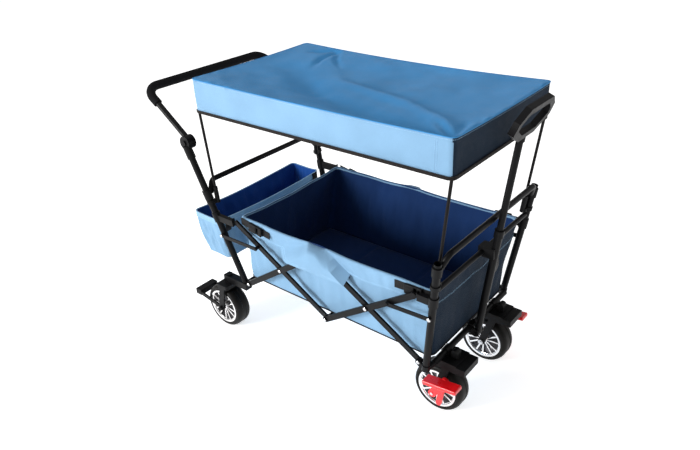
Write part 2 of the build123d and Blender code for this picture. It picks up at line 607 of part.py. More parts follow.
def pull_handle():
    """Telescopic stem on a clevis pin, with a closed hand grip. Drawn upright, then leaned."""
    stow = Pos(PULL_PIVOT_X, 0, PULL_PIVOT_Z) * Rot(Y=PULL_LEAN)
    outer = Pos(0, 0, PULL_OUTER_LENGTH / 2) * Cylinder(PULL_OUTER_R, PULL_OUTER_LENGTH)
    outer += bar_y(0, 0, PULL_OUTER_R, -PULL_OUTER_R, PULL_OUTER_R)
    outer += Pos(0, 0, PULL_OUTER_LENGTH - 12) * Cylinder(PULL_OUTER_R + 2.5, 24)
    bore_low = 20.0
    bore = Pos(0, 0, (bore_low + PULL_OUTER_LENGTH + 5) / 2) * Cylinder(
        PULL_OUTER_R - PULL_OUTER_WALL, PULL_OUTER_LENGTH + 5 - bore_low)
    outer -= bore
    outer -= bar_y(0, 0, PIN_R + PIN_CLEAR, -20, 20)
    write("pull_outer_tube", stow * outer)
    inner_low = PULL_OUTER_LENGTH - PULL_OVERLAP
    inner = Pos(0, 0, (inner_low + PULL_TOTAL) / 2) * Cylinder(PULL_INNER_R, PULL_TOTAL - inner_low)
    inner -= Pos(0, 0, (inner_low + PULL_TOTAL) / 2) * Cylinder(PULL_INNER_R - TUBE_WALL, PULL_TOTAL)
    write("pull_inner_tube", stow * inner)
    half = [(46, 18), (105, 56), (101, 92), (64, GRIP_HEIGHT)]
    ring = half + [(-y, z) for y, z in reversed(half)]
    outline = Polyline(*ring, ring[0])
    loop = make_face(outline)
    loop = extrude(loop, GRIP_R, both=True)
    hole = extrude(offset(make_face(outline), -GRIP_WALL, kind=Kind.INTERSECTION), 20, both=True)
    grip = Rot(Z=90) * Rot(X=90) * (loop - hole)
    grip = Rot(Y=GRIP_LEAN - PULL_LEAN) * grip
    neck = Pos(0, 0, 14) * Cylinder(PULL_INNER_R + 3, 24) + Pos(0, 0, 1) * Cylinder(PULL_INNER_R + 3, 2)
    plug = Pos(0, 0, -10) * Cylinder(PULL_INNER_R - TUBE_WALL - FIT, 24)
    grip = grip + neck + plug
    write("pull_grip", stow * Pos(0, 0, PULL_TOTAL + GRIP_SEAT) * grip)


# --- push handle ------------------------------------------------------------

def push_handle():
    """U-shaped handle on two clutch hinges, each half a round casing."""
    fixed_in, moving_in = HINGE_Y - HINGE_HALF, HINGE_Y - 2 * HINGE_HALF - GAP
    direction = degrees(atan2(HANDLE_Z - HINGE_Z, HANDLE_X - HINGE_X))
    plates, buttons, hubs = [], [], []
    plate = bar_y(HINGE_X, HINGE_Z, HINGE_R, fixed_in, HINGE_Y)
    plate += bar_y(HINGE_X, HINGE_Z, HINGE_PIN_R, moving_in + 4, fixed_in)
    neck_w = up_plane(HINGE_Z) - 30
    neck = far(collar(rear_post_x, neck_w, 44, POST_R + 3))
    plate += neck - box((-1000, 0, HINGE_Z), (0, 1000, 1000))
    room = bar_y(HINGE_X, HINGE_Z, HINGE_R + 6, moving_in - 20, fixed_in - 0.3)
    plate -= room - bar_y(HINGE_X, HINGE_Z, HINGE_PIN_R, moving_in + 4, fixed_in)
    post_end = far(collar(rear_post_x, REAR_POST_TOP - 30, 64, POST_R + FIT))
    plate -= post_end
    button_place = Location((HINGE_X, HINGE_Y, HINGE_Z), (90, 0, 0))
    plate -= button_place * Cylinder(BUTTON_R + 0.2, 12)
    button = bar_y(HINGE_X, HINGE_Z, BUTTON_R, HINGE_Y - 2.5, HINGE_Y + 5)
    hub = bar_y(HINGE_X, HINGE_Z, HINGE_R, moving_in, fixed_in - GAP)
    leg_y = (moving_in + fixed_in) / 2
    reach = radians(direction)
    start = (HINGE_X + 14 * cos(reach), leg_y, HINGE_Z + 14 * sin(reach))
    points = [start, (HANDLE_X, leg_y - 8, HANDLE_Z), (HANDLE_X, -leg_y + 8, HANDLE_Z),
              (start[0], -leg_y, start[2])]
    hub_bore = bar_y(HINGE_X, HINGE_Z, HINGE_PIN_R + 0.1, moving_in - 1, fixed_in + 1)
    bar = rod(points, HANDLE_R, bend=HANDLE_BEND) + hub + mirrored(hub)
    bar = bar - hub_bore - mirrored(hub_bore)
    bar -= bar_y(HINGE_X, HINGE_Z, HINGE_R + 3, fixed_in - GAP, fixed_in + 30)
    bar -= bar_y(HINGE_X, HINGE_Z, HINGE_R + 3, -fixed_in - 30, -fixed_in + GAP)
    write("push_handle_tube", bar)
    path = FilletPolyline(*points, radius=HANDLE_BEND)
    window = box((HANDLE_X - 40, -400, 0), (HANDLE_X + 62, 400, 2000))
    start_plane = Plane(origin=path @ 0, z_dir=path % 0)
    foam = sweep(start_plane * Circle(FOAM_R), path=path) & window
    foam -= sweep(start_plane * Circle(HANDLE_R + FIT), path=path)
    write("push_handle_foam", foam)
    write("handle_hinge_plates", plate, mirrored(plate))
    write("handle_button_far", button)
    write("handle_button_near", mirrored(button))


# --- canopy -----------------------------------------------------------------

def canopy():
    """Rim in two halves that telescope along the sides, and the fabric top that hangs over it."""
    outer = box((CANOPY_REAR, -CANOPY_Y, CANOPY_LOW), (CANOPY_FRONT, CANOPY_Y, CANOPY_TOP))
    inner = box((CANOPY_REAR + FABRIC, -CANOPY_Y + FABRIC, CANOPY_LOW - 5),
                (CANOPY_FRONT - FABRIC, CANOPY_Y - FABRIC, CANOPY_TOP - FABRIC))
    write("canopy_fabric", outer - inner)
    rim_z = CANOPY_LOW + RIM_TUBE_R + GAP
    rear = [(RIM_TUBE_END, -RIM_Y, rim_z), (RIM_REAR_X, -RIM_Y, rim_z),
            (RIM_REAR_X, RIM_Y, rim_z), (RIM_TUBE_END, RIM_Y, rim_z)]
    write("canopy_rear_rim", rod(rear, RIM_TUBE_R, bend=RIM_BEND, bore=RIM_ROD_R + FIT))
    front = [(RIM_ROD_TIP, -RIM_Y, rim_z), (RIM_FRONT_X, -RIM_Y, rim_z),
             (RIM_FRONT_X, RIM_Y, rim_z), (RIM_ROD_TIP, RIM_Y, rim_z)]
    write("canopy_front_rim", rod(front, RIM_ROD_R, bend=RIM_BEND))


# --- soft goods -------------------------------------------------------------

def tapered_tray(low, top, z_low, z_top, wall):
    """Open-topped fabric box whose walls slope: low and top are (rear, front, half width)."""
    def section(edges, inset, z):
        rear, front, half = edges
        centre = ((rear + front) / 2, 0, z)
        return Location(centre) * Rectangle(front - rear - 2 * inset, 2 * (half - inset))

    shell = loft([section(low, 0, z_low), section(top, 0, z_top)])
    return shell - loft([section(low, wall, z_low + wall), section(top, wall, z_top + 0.01)])


def soft_goods():
    low, top = (TUB_LOW_REAR, TUB_LOW_FRONT, TUB_LOW_Y), (TUB_TOP_REAR, TUB_TOP_FRONT, TUB_TOP_Y)
    write("tub_fabric", tapered_tray(low, top, TUB_LOW, TUB_TOP, TUB_WALL))
    inset = TUB_WALL + 6
    floor = TUB_LOW + TUB_WALL + GAP
    write("tub_mat", box((TUB_LOW_REAR + inset, -TUB_LOW_Y + inset, floor),
                         (TUB_LOW_FRONT - inset, TUB_LOW_Y - inset, floor + MAT_THICK)))
    edges = (BASKET_REAR, BASKET_FRONT, BASKET_Y)
    write("rear_basket", tapered_tray(edges, edges, BASKET_LOW, BASKET_TOP, FABRIC))


scissor()
mid_cross_bar()
stays()
rear_frame()
wheels()
front_frame()
pull_handle()
push_handle()
canopy()
soft_goods()
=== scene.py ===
# %% [markdown]
# # Beach cart
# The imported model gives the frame: tubes, links, wheels and joints, each in its place and riding on its body.
# This lesson adds what sewing, moulding and rolling give the real cart: cloth, webbing, foam, tyres and rivets.

import json
import math

import bpy
from mathutils import Matrix, Vector, noise


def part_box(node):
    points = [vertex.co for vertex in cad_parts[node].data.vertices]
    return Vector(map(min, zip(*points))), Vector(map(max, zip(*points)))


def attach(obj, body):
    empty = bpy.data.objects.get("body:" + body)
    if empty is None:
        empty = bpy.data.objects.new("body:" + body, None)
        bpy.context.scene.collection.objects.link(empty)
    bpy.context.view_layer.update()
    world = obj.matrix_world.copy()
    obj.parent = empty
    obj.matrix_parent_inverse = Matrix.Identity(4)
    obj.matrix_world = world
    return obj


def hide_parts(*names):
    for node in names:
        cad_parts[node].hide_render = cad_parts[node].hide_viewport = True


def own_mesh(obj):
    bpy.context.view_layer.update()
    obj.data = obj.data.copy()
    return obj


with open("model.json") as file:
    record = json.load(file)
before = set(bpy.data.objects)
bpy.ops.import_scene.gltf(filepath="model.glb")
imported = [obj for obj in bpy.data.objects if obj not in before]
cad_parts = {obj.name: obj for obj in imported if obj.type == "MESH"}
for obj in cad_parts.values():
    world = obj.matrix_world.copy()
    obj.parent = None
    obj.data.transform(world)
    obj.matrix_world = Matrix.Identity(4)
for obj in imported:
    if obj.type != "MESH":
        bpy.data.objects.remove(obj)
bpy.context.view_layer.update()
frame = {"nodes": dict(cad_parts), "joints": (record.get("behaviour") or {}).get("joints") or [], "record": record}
NODES = frame["nodes"]
JOINTS = {joint["name"]: joint for joint in frame["joints"]}
print("frame", len(NODES), "nodes")

# %% [markdown]
# Small helpers come first. An operator acts on everything selected, so each piece starts with an empty selection.
# A finished piece keeps its place in its mesh, and its object stays at the origin.

# %% Helpers for pieces


def fresh():
    bpy.ops.object.select_all(action="DESELECT")


def pick(obj):
    """Select this piece alone and make it the active one."""
    fresh()
    obj.select_set(True)
    bpy.context.view_layer.objects.active = obj


def put(name, data):
    """New object for this mesh or curve, in the scene."""
    obj = bpy.data.objects.new(name, data)
    bpy.context.scene.collection.objects.link(obj)
    return obj


def named(name):
    """Name the new piece and give it a mesh of the same name."""
    obj = bpy.context.object
    obj.name = name
    obj.data.name = name
    return obj


def apply_place(obj):
    pick(obj)
    bpy.ops.object.transform_apply(location=True, rotation=True, scale=True)
    return obj


def modify(obj, kind, **values):
    """Add a modifier and apply it at once."""
    pick(obj)
    modifier = obj.modifiers.new(kind.title(), kind)
    for key, value in values.items():
        setattr(modifier, key, value)
    bpy.ops.object.modifier_apply(modifier=modifier.name)
    return obj


def edit(obj, *steps):
    """Run edit-mode operators on all of a piece: each step is a function."""
    pick(obj)
    bpy.ops.object.mode_set(mode="EDIT")
    bpy.ops.mesh.select_all(action="SELECT")
    for step in steps:
        step()
    bpy.ops.object.mode_set(mode="OBJECT")
    return obj


def face_out(obj):
    return edit(obj, lambda: bpy.ops.mesh.normals_make_consistent(inside=False))


def merge(obj, distance=0.00005):
    return edit(obj, lambda: bpy.ops.mesh.remove_doubles(threshold=distance),
                lambda: bpy.ops.mesh.normals_make_consistent(inside=False))


def smooth(obj, angle=35.0):
    pick(obj)
    bpy.ops.object.shade_smooth_by_angle(angle=math.radians(angle))
    return obj


def join(pieces, name):
    fresh()
    for piece in pieces:
        piece.select_set(True)
    bpy.context.view_layer.objects.active = pieces[0]
    if len(pieces) > 1:
        bpy.ops.object.join()
    return named(name)


def middle(node):
    low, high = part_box(node)
    return (low + high) / 2


def box_uv(obj):
    """UV in metres, from the side that each face looks to, so that a weave keeps its real size."""
    mesh = obj.data
    layer = mesh.uv_layers.active or mesh.uv_layers.new(name="UVMap")
    for face in mesh.polygons:
        normal = [abs(value) for value in face.normal]
        across = normal.index(max(normal))
        first, second = [axis for axis in range(3) if axis != across]
        for index in face.loop_indices:
            point = mesh.vertices[mesh.loops[index].vertex_index].co
            layer.data[index].uv = (point[first], point[second])
    return obj


print("helpers ready")

# %% [markdown]
# Materials are built from nodes. Each helper wires a base colour that varies, a roughness that varies and a fine
# bump. Cloth takes its weave from the piece's UV map, which is in metres.

# %% Helpers for materials


class Wiring:
    """A material's node tree with short ways to add nodes."""

    def __init__(self, name):
        self.material = bpy.data.materials.new(name)
        self.material.use_nodes = True
        self.tree = self.material.node_tree
        self.shader = self.tree.nodes["Principled BSDF"]

    def add(self, kind, **values):
        node = self.tree.nodes.new(kind)
        for key, value in values.items():
            setattr(node, key, value)
        return node

    def link(self, source, target):
        self.tree.links.new(source, target)

    def math(self, operation, first, second):
        node = self.add("ShaderNodeMath", operation=operation)
        for socket, value in zip(node.inputs, (first, second)):
            if isinstance(value, (int, float)):
                socket.default_value = value
            else:
                self.link(value, socket)
        return node.outputs[0]

    def coordinates(self, kind="Object"):
        return self.add("ShaderNodeTexCoord").outputs[kind]

    def noise(self, scale, detail=3.0, kind="Object"):
        node = self.add("ShaderNodeTexNoise")
        node.inputs["Scale"].default_value = scale
        node.inputs["Detail"].default_value = detail
        self.link(self.coordinates(kind), node.inputs["Vector"])
        return node.outputs["Fac"]

    def ramp(self, factor, *stops):
        node = self.add("ShaderNodeValToRGB")
        while len(node.color_ramp.elements) < len(stops):
            node.color_ramp.elements.new(0.5)
        for element, (place, colour) in zip(node.color_ramp.elements, stops):
            element.position = place
            element.color = (*colour, 1.0)
        self.link(factor, node.inputs["Fac"])
        return node.outputs["Color"]

    def span(self, factor, low, high):
        node = self.add("ShaderNodeMapRange")
        node.inputs["To Min"].default_value = low
        node.inputs["To Max"].default_value = high
        self.link(factor, node.inputs["Value"])
        return node.outputs["Result"]

    def mix(self, factor, first, second, how="MIX"):
        node = self.add("ShaderNodeMix", data_type="RGBA", blend_type=how)
        for socket, value in ((node.inputs["Factor"], factor), (node.inputs[6], first), (node.inputs[7], second)):
            if isinstance(value, (int, float)):
                socket.default_value = value
            elif isinstance(value, tuple):
                socket.default_value = (*value, 1.0)
            else:
                self.link(value, socket)
        return node.outputs[2]

    def bump(self, height, strength, distance=0.0005):
        node = self.add("ShaderNodeBump")
        node.inputs["Strength"].default_value = strength
        node.inputs["Distance"].default_value = distance
        self.link(height, node.inputs["Height"])
        self.link(node.outputs["Normal"], self.shader.inputs["Normal"])


def shade(colour, factor):
    return tuple(min(1.0, value * factor) for value in colour)


def cloth_material(name, colour, thread=0.0011, sheen=0.12, rough=0.78):
    """Coated polyester: two crossing sets of threads, a little fading, and a soft sheen."""
    wiring = Wiring(name)
    mapping = wiring.coordinates("UV")
    waves = []
    for direction in ("X", "Y"):
        wave = wiring.add("ShaderNodeTexWave", bands_direction=direction)
        wave.inputs["Scale"].default_value = 0.31416 / thread
        wave.inputs["Distortion"].default_value = 0.6
        wave.inputs["Detail"].default_value = 1.0
        wiring.link(mapping, wave.inputs["Vector"])
        waves.append(wave.outputs["Fac"])
    weave = wiring.math("MULTIPLY", waves[0], waves[1])
    fade = wiring.noise(7.0, 4.0)
    patch = wiring.ramp(fade, (0.25, shade(colour, 0.88)), (0.55, colour), (0.8, shade(colour, 1.1)))
    threads = wiring.ramp(weave, (0.0, (0.8, 0.8, 0.8)), (0.6, (1.0, 1.0, 1.0)))
    base = wiring.mix(1.0, patch, threads, "MULTIPLY")
    wiring.link(base, wiring.shader.inputs["Base Color"])
    wiring.link(wiring.span(wiring.noise(45.0), rough - 0.1, rough + 0.1), wiring.shader.inputs["Roughness"])
    creases = wiring.math("MULTIPLY", wiring.noise(38.0, 6.0), 1.6)
    wiring.bump(wiring.math("ADD", weave, creases), 0.35, 0.0012)
    wiring.shader.inputs["Sheen Weight"].default_value = sheen
    wiring.shader.inputs["Sheen Roughness"].default_value = 0.4
    wiring.shader.inputs["Specular IOR Level"].default_value = 0.14
    return wiring.material


def hard_material(name, colour, rough, grain=900.0, grain_depth=0.15, metal=0.0, coat=0.0, spread=0.1, worn=None,
                  gloss=0.5):
    """Paint, plastic or metal: fine grain, uneven gloss, and scuffs of a second colour where it is worn."""
    wiring = Wiring(name)
    tint = wiring.noise(14.0, 5.0)
    base = wiring.ramp(tint, (0.3, shade(colour, 0.8)), (0.7, shade(colour, 1.25)))
    if worn:
        marks = wiring.ramp(wiring.noise(120.0, 8.0), (0.66, (0.0, 0.0, 0.0)), (0.74, (0.35, 0.35, 0.35)))
        base = wiring.mix(marks, base, worn)
    wiring.link(base, wiring.shader.inputs["Base Color"])
    uneven_gloss = wiring.span(wiring.noise(60.0, 6.0), rough - spread, rough + spread)
    wiring.link(uneven_gloss, wiring.shader.inputs["Roughness"])
    wiring.bump(wiring.noise(grain, 2.0), grain_depth, 0.0002)
    wiring.shader.inputs["Metallic"].default_value = metal
    wiring.shader.inputs["Specular IOR Level"].default_value = gloss
    wiring.shader.inputs["Coat Weight"].default_value = coat
    wiring.shader.inputs["Coat Roughness"].default_value = 0.15
    return wiring.material


print("material helpers ready")

# %% Finishes of the cart
SKY = (0.235, 0.42, 0.62)
# TOP_PAINTED_SHADE_BLUE is painted shade: the canopy's top panel is the side cloth coloured darker and deeper,
# since less light falls on the top.
TOP_PAINTED_SHADE_BLUE = (0.052, 0.285, 0.62)
# SHADE_BLUE is painted shade: a dark navy copy of the blue cloth for the front walls, which face away from the
# light.
SHADE_BLUE = (0.008, 0.021, 0.042)
DEEP = (0.010, 0.042, 0.155)
finish = {
    "sky_cloth": cloth_material("sky_cloth", SKY),
    "canopy_cloth": cloth_material("canopy_cloth", TOP_PAINTED_SHADE_BLUE),
    "front_cloth": cloth_material("front_cloth", SHADE_BLUE, sheen=0.03),
    "basket_lining": cloth_material("basket_lining", (0.010, 0.075, 0.33), sheen=0.1),
    "deep_cloth": cloth_material("deep_cloth", DEEP, sheen=0.1),
    "rim_binding": cloth_material("rim_binding", (0.28, 0.48, 0.68), thread=0.0016),
    "dark_binding": cloth_material("dark_binding", (0.012, 0.009, 0.008), thread=0.0016, sheen=0.1),
    "webbing": cloth_material("webbing", (0.008, 0.008, 0.009), thread=0.0022, sheen=0.15, rough=0.6),
    "thread": hard_material("thread", (0.34, 0.56, 0.76), 0.6),
    "frame_black": hard_material("frame_black", (0.004, 0.004, 0.0045), 0.36, 700.0, 0.25,
                                 worn=(0.022, 0.022, 0.022), gloss=0.10),
    "pole_black": hard_material("pole_black", (0.006, 0.005, 0.005), 0.34, 700.0, 0.12, gloss=0.10),
    "black_plastic": hard_material("black_plastic", (0.006, 0.006, 0.0065), 0.44, 1600.0, 0.35, gloss=0.10),
    "foam": hard_material("foam", (0.006, 0.006, 0.007), 0.85, 420.0, 0.8, gloss=0.10),
    "tyre": hard_material("tyre", (0.006, 0.0055, 0.005), 0.46, 300.0, 0.2, worn=(0.024, 0.021, 0.018), gloss=0.14),
    "chrome": hard_material("chrome", (0.82, 0.80, 0.80), 0.16, 200.0, 0.04, metal=1.0, spread=0.05),
    "rim_dark": hard_material("rim_dark", (0.05, 0.05, 0.055), 0.35, 300.0, 0.1, metal=0.6),
    "steel": hard_material("steel", (0.62, 0.62, 0.63), 0.28, 300.0, 0.06, metal=1.0),
    "pedal_red": hard_material("pedal_red", (0.78, 0.004, 0.008), 0.3, 900.0, 0.12, coat=0.4),
}
SIDE_PAIR = ("sky_cloth", "deep_cloth")       # outside and inside
# Front walls: painted shade outside, lining inside.
FRONT_PAINTED_SHADE_PAIR = ("front_cloth", "deep_cloth")
# Canopy top: painted shade outside, lining inside.
TOP_PAINTED_SHADE_PAIR = ("canopy_cloth", "deep_cloth")
# Tub wall behind the flap: painted shadow in the lining colour outside, lining inside.
FLAP_SHADOW_PAIR = ("deep_cloth", "deep_cloth")
print("finishes", len(finish))


def paint(obj, *names):
    obj.data.materials.clear()
    for name in names:
        obj.data.materials.append(finish[name])
    return obj


# %% Finishes of the frame's own pieces
SLOT_FINISH = {
    "frame_black": "frame_black", "pole_black": "pole_black", "black_plastic": "black_plastic",
    "tub_cloth": "sky_cloth", "canopy_cloth": "canopy_cloth", "mat_cloth": "deep_cloth",
    "foam_grip": "foam", "tyre_rubber": "tyre", "wheel_silver": "chrome",
    "pedal_red": "pedal_red", "axle_steel": "steel",
}
for part in frame["record"]["subparts"]:
    paint(NODES[part["node"]], SLOT_FINISH[part["material_slot"]])

# %% [markdown]
# Each soft box of the cart is one cloth: the canopy is a shallow box upside down, the tub and the basket stand
# upright. A grid makes the flat panel, and its edge is extruded once for each row of the walls. A function then
# puts each point in its place, which gives the sag and the folds.

# %% A sewn box from one grid


def tray(name, columns, rows, levels, place):
    """Grid with extruded edge rows. place(x, y, level) gets x and y from -1 to 1, and level 0 in the panel."""
    fresh()
    bpy.ops.mesh.primitive_grid_add(x_subdivisions=columns, y_subdivisions=rows, size=2)
    obj = named(name)
    bpy.ops.object.mode_set(mode="EDIT")
    bpy.ops.mesh.select_all(action="SELECT")
    bpy.ops.mesh.region_to_loop()
    for _ in range(levels):
        bpy.ops.mesh.extrude_region_move(TRANSFORM_OT_translate={"value": (0, 0, 1)})
    bpy.ops.object.mode_set(mode="OBJECT")
    for vertex in obj.data.vertices:
        x, y, level = vertex.co
        vertex.co = place(x, y, round(level))
    return obj


def rounded(x, y, half_x, half_y, radius):
    """Point of a rectangle's panel, with the corners brought in to a round of this radius."""
    px, py = x * half_x, y * half_y
    core_x = max(-half_x + radius, min(half_x - radius, px))
    core_y = max(-half_y + radius, min(half_y - radius, py))
    out_x, out_y = px - core_x, py - core_y
    far_out = math.hypot(out_x, out_y)
    if far_out > 1e-9:
        share = max(abs(out_x), abs(out_y)) / far_out
        out_x, out_y = out_x * share, out_y * share
    return core_x + out_x, core_y + out_y


def ripple(point, scale, size):
    """Uneven cloth: soft bumps of this size at this scale, the same each run."""
    return size * noise.noise(Vector(point) * scale)


def finish_cloth(obj, wall, outside, inside):
    """Give the cloth its thickness, with the second finish on its inner face."""
    face_out(obj)
    paint(obj, outside, inside)
    return thicken(obj, wall)


def panels(obj, front_x, names, top_z=9.0):
    """Pairs of finishes, outside and inside, for the walls, the front wall, and a top panel if there is one."""
    face_out(obj)
    heart = sum((face.center for face in obj.data.polygons), Vector()) / len(obj.data.polygons)
    if sum(face.area * face.normal.dot(face.center - heart) for face in obj.data.polygons) < 0:
        edit(obj, lambda: bpy.ops.mesh.flip_normals())
    paint(obj, *names)
    for face in obj.data.polygons:
        # Slot 4 marks the top panel and slot 2 the front wall; on the canopy and the cuff these take darker copies
        # of the wall cloth, painted shade.
        if face.normal.z > 0.6 and face.center.z > top_z:
            face.material_index = 4
        elif face.normal.x > 0.6 and face.center.x > front_x:
            face.material_index = 2
    return obj


def thicken(obj, wall, offset=-1.0):
    """Give a sheet its wall. Each inner face takes the finish after the one on its outer face."""
    modify(obj, "SOLIDIFY", thickness=wall, offset=offset, material_offset=1, material_offset_rim=0)
    box_uv(obj)
    return smooth(obj, 60.0)


# %% [markdown]
# A sewing machine leaves short, evenly spaced bumps of thread. One stitch is a tiny box with its ends pinched,
# and a seam is that box copied along a line, all in one mesh.

# %% Stitches, ribbons and welts


def along(points, pitch):
    """Evenly spaced places on a line, each with its direction."""
    placed, ahead = [], 0.0
    for start, end in zip(points, points[1:]):
        run = end - start
        length = run.length
        if length < 1e-9:
            continue
        while ahead < length:
            placed.append((start + run * (ahead / length), run / length))
            ahead += pitch
        ahead -= length
    return placed


def stitches(name, lines, pitch=0.0045, length=0.0032, radius=0.00055, colour="thread"):
    corners = [(-0.5, 0, 0)]
    corners += [(-0.25, math.cos(turn), math.sin(turn)) for turn in (0, 1.571, 3.142, 4.712)]
    corners += [(0.25, math.cos(turn), math.sin(turn)) for turn in (0, 1.571, 3.142, 4.712)]
    corners += [(0.5, 0, 0)]
    faces = []
    for side in range(4):
        after = (side + 1) % 4
        faces += [(0, 1 + after, 1 + side), (1 + side, 1 + after, 5 + after, 5 + side), (9, 5 + side, 5 + after)]
    points, polygons = [], []
    for line in lines:
        for place, direction in along(line, pitch):
            turn = direction.to_track_quat("X", "Z")
            first = len(points)
            points += [place + turn @ Vector((x * length, y * radius, z * radius)) for x, y, z in corners]
            polygons += [tuple(first + index for index in face) for face in faces]
    mesh = bpy.data.meshes.new(name)
    mesh.from_pydata(points, [], polygons)
    obj = put(name, mesh)
    return paint(merge(obj, 0.00001), colour)


def welt(name, lines, radius, material, closed=False, sides=2):
    """Round cord or tube along each line of points, as a mesh."""
    curve = bpy.data.curves.new(name, "CURVE")
    curve.dimensions = "3D"
    curve.bevel_depth = radius
    curve.bevel_resolution = sides
    curve.use_fill_caps = True
    for line in lines:
        spline = curve.splines.new("POLY")
        spline.points.add(len(line) - 1)
        for point, place in zip(spline.points, line):
            point.co = (*place, 1.0)
        spline.use_cyclic_u = closed
    obj = put(name, curve)
    pick(obj)
    bpy.ops.object.convert(target="MESH")
    obj = bpy.context.object
    obj.name = name
    return paint(box_uv(smooth(obj, 50.0)), material)


def ribbon(name, edges, wall, material, closed=False):
    """Flat tape between two rows of points: its edge lines run side by side."""
    first, second = edges
    count = len(first)
    points = list(first) + list(second)
    last = count if closed else count - 1
    faces = [(i, (i + 1) % count, count + (i + 1) % count, count + i) for i in range(last)]
    mesh = bpy.data.meshes.new(name)
    mesh.from_pydata(points, [], faces)
    obj = put(name, mesh)
    modify(obj, "SOLIDIFY", thickness=wall, offset=0.0)
    merge(obj)
    return smooth(box_uv(paint(obj, material)), 40.0)


print("cloth helpers ready")

# %% [markdown]
# ## Canopy
# The canopy is one cover sewn as a shallow box. Its lower hem is held by a thin rim of rods, and nothing holds up
# the middle, so the top sags and folds run out of the corners.

# %% Canopy sizes
canopy_low, canopy_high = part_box("canopy_fabric")
CANOPY_MID = (canopy_low + canopy_high) / 2
CANOPY_HALF_X = (canopy_high.x - canopy_low.x) / 2
CANOPY_HALF_Y = (canopy_high.y - canopy_low.y) / 2
CANOPY_DROP = canopy_high.z - canopy_low.z
CANOPY_CORNER = 0.016
CANOPY_WALL = 0.0012
VALANCE_ROWS = 9


# %% Canopy cover


def from_line(x, y, line):
    """Distance from a point to a line of points, and how far along the line the nearest place is, 0 to 1."""
    nearest, share = 9.0, 0.0
    here = Vector((x, y))
    for step in range(len(line) - 1):
        start, stop = Vector(line[step]), Vector(line[step + 1])
        run = stop - start
        along_run = max(0.0, min(1.0, (here - start).dot(run) / run.length_squared))
        apart = (start + run * along_run - here).length
        if apart < nearest:
            nearest, share = apart, (step + along_run) / (len(line) - 1)
    return nearest, share


def crease(x, y, line, width, fade=0.35):
    """1 on the line, gone a width or two away from it, and soft towards both its ends."""
    places = [(a * CANOPY_HALF_X, b * CANOPY_HALF_Y) for a, b in line]
    apart, share = from_line(x * CANOPY_HALF_X, y * CANOPY_HALF_Y, places)
    ends = min(1.0, share / fade) * min(1.0, (1.0 - share) / 0.12 + 0.15)
    return math.exp(-(apart / width) ** 2) * ends


VALLEY = [(-0.80, 0.45), (-0.62, 0.10), (-0.32, -0.24), (0.10, -0.58), (0.46, -0.76), (0.97, -0.97)]
CREST = [(-0.50, 0.50), (-0.24, 0.10), (0.08, -0.04), (0.42, -0.20), (0.72, -0.50), (0.97, -0.95)]
CORNER_FOLDS = (([(0.62, -0.80), (0.80, -0.90), (0.985, -0.985)], 0.0055),
                ([(0.72, -0.55), (0.86, -0.78), (0.985, -0.975)], 0.0065),
                ([(0.90, -0.45), (0.95, -0.75), (0.99, -0.97)], 0.0045))
SAG = 0.034               # how far the middle of the top hangs
VALLEY_DEPTH = 0.020
CREST_LIFT = 0.010
PUCKER = 0.0032           # height of the gathers beside the seam
SEAM_DIP = 0.0035         # the top's edge lies this far under its outer corner
GATHER_FOLDS = (([(-0.60, 0.30), (-0.66, 0.62), (-0.665, 0.97)], 0.0060),
                ([(-0.40, 0.45), (-0.56, 0.70), (-0.655, 0.97)], 0.0045),
                ([(-0.86, 0.70), (-0.76, 0.84), (-0.675, 0.97)], 0.0040))


def canopy_top(x, y):
    """Height of the canopy's top above its seam, at x and y from -1 to 1."""
    px, py = x * CANOPY_HALF_X, y * CANOPY_HALF_Y
    inside = max(0.0, 1 - x * x) ** 0.75 * max(0.0, 1 - y * y) ** 0.8
    height = -SAG * inside
    height += -0.006 * (1 - x * x) * abs(y) ** 3 * (1.7 if y > 0 else 0.6)
    height += -0.004 * (1 - y * y) * abs(x) ** 3
    shelter = min(1.0, 6 * (1 - abs(x))) * min(1.0, 6 * (1 - abs(y)))
    height += -VALLEY_DEPTH * shelter * crease(x, y, VALLEY, 0.050)
    height += CREST_LIFT * shelter * crease(x, y, CREST, 0.026)
    close = min(1.0, 30 * (1 - abs(x))) * min(1.0, 30 * (1 - abs(y)))
    for line, depth in CORNER_FOLDS + GATHER_FOLDS:
        height -= 1.4 * depth * close * crease(x, y, line, 0.0115)
    edge_gap = min((1 - abs(x)) * CANOPY_HALF_X, (1 - abs(y)) * CANOPY_HALF_Y)
    pucker = math.exp(-(edge_gap / 0.022) ** 2) * min(1.0, edge_gap / 0.006)
    height += PUCKER * pucker * noise.noise(Vector((px * 34, py * 34, 5.0)))
    height += shelter * (ripple((px, py, 0.3), 6.0, 0.007) + ripple((px, py, 1.3), 17.0, 0.0024))
    return height


def canopy_place(x, y, level):
    px, py = rounded(x, y, CANOPY_HALF_X - 0.001, CANOPY_HALF_Y - 0.001, CANOPY_CORNER)
    edge = max(abs(x), abs(y))
    if level == 0:
        height = canopy_high.z + canopy_top(x, y)
        if edge > 0.999:
            height -= SEAM_DIP
        return px + CANOPY_MID.x, py, height
    share = level / VALANCE_ROWS
    seam_drop = canopy_top(x, y) - SEAM_DIP
    height = canopy_high.z - share * CANOPY_DROP + seam_drop * (1 - share)
    bow = 0.0045 * math.sin(share * math.pi) * min(1.0, 6 * (1 - min(abs(x), abs(y))))
    wave = ripple((px * 1.0, py * 1.0, height * 0.6), 9.0, 0.0035) * math.sin(share * math.pi)
    shrink_x = 1 - (bow - wave) / CANOPY_HALF_X
    shrink_y = 1 - (bow - wave) / CANOPY_HALF_Y
    return px * shrink_x + CANOPY_MID.x, py * shrink_y, height


canopy = tray("canopy_cover", 190, 110, VALANCE_ROWS, canopy_place)
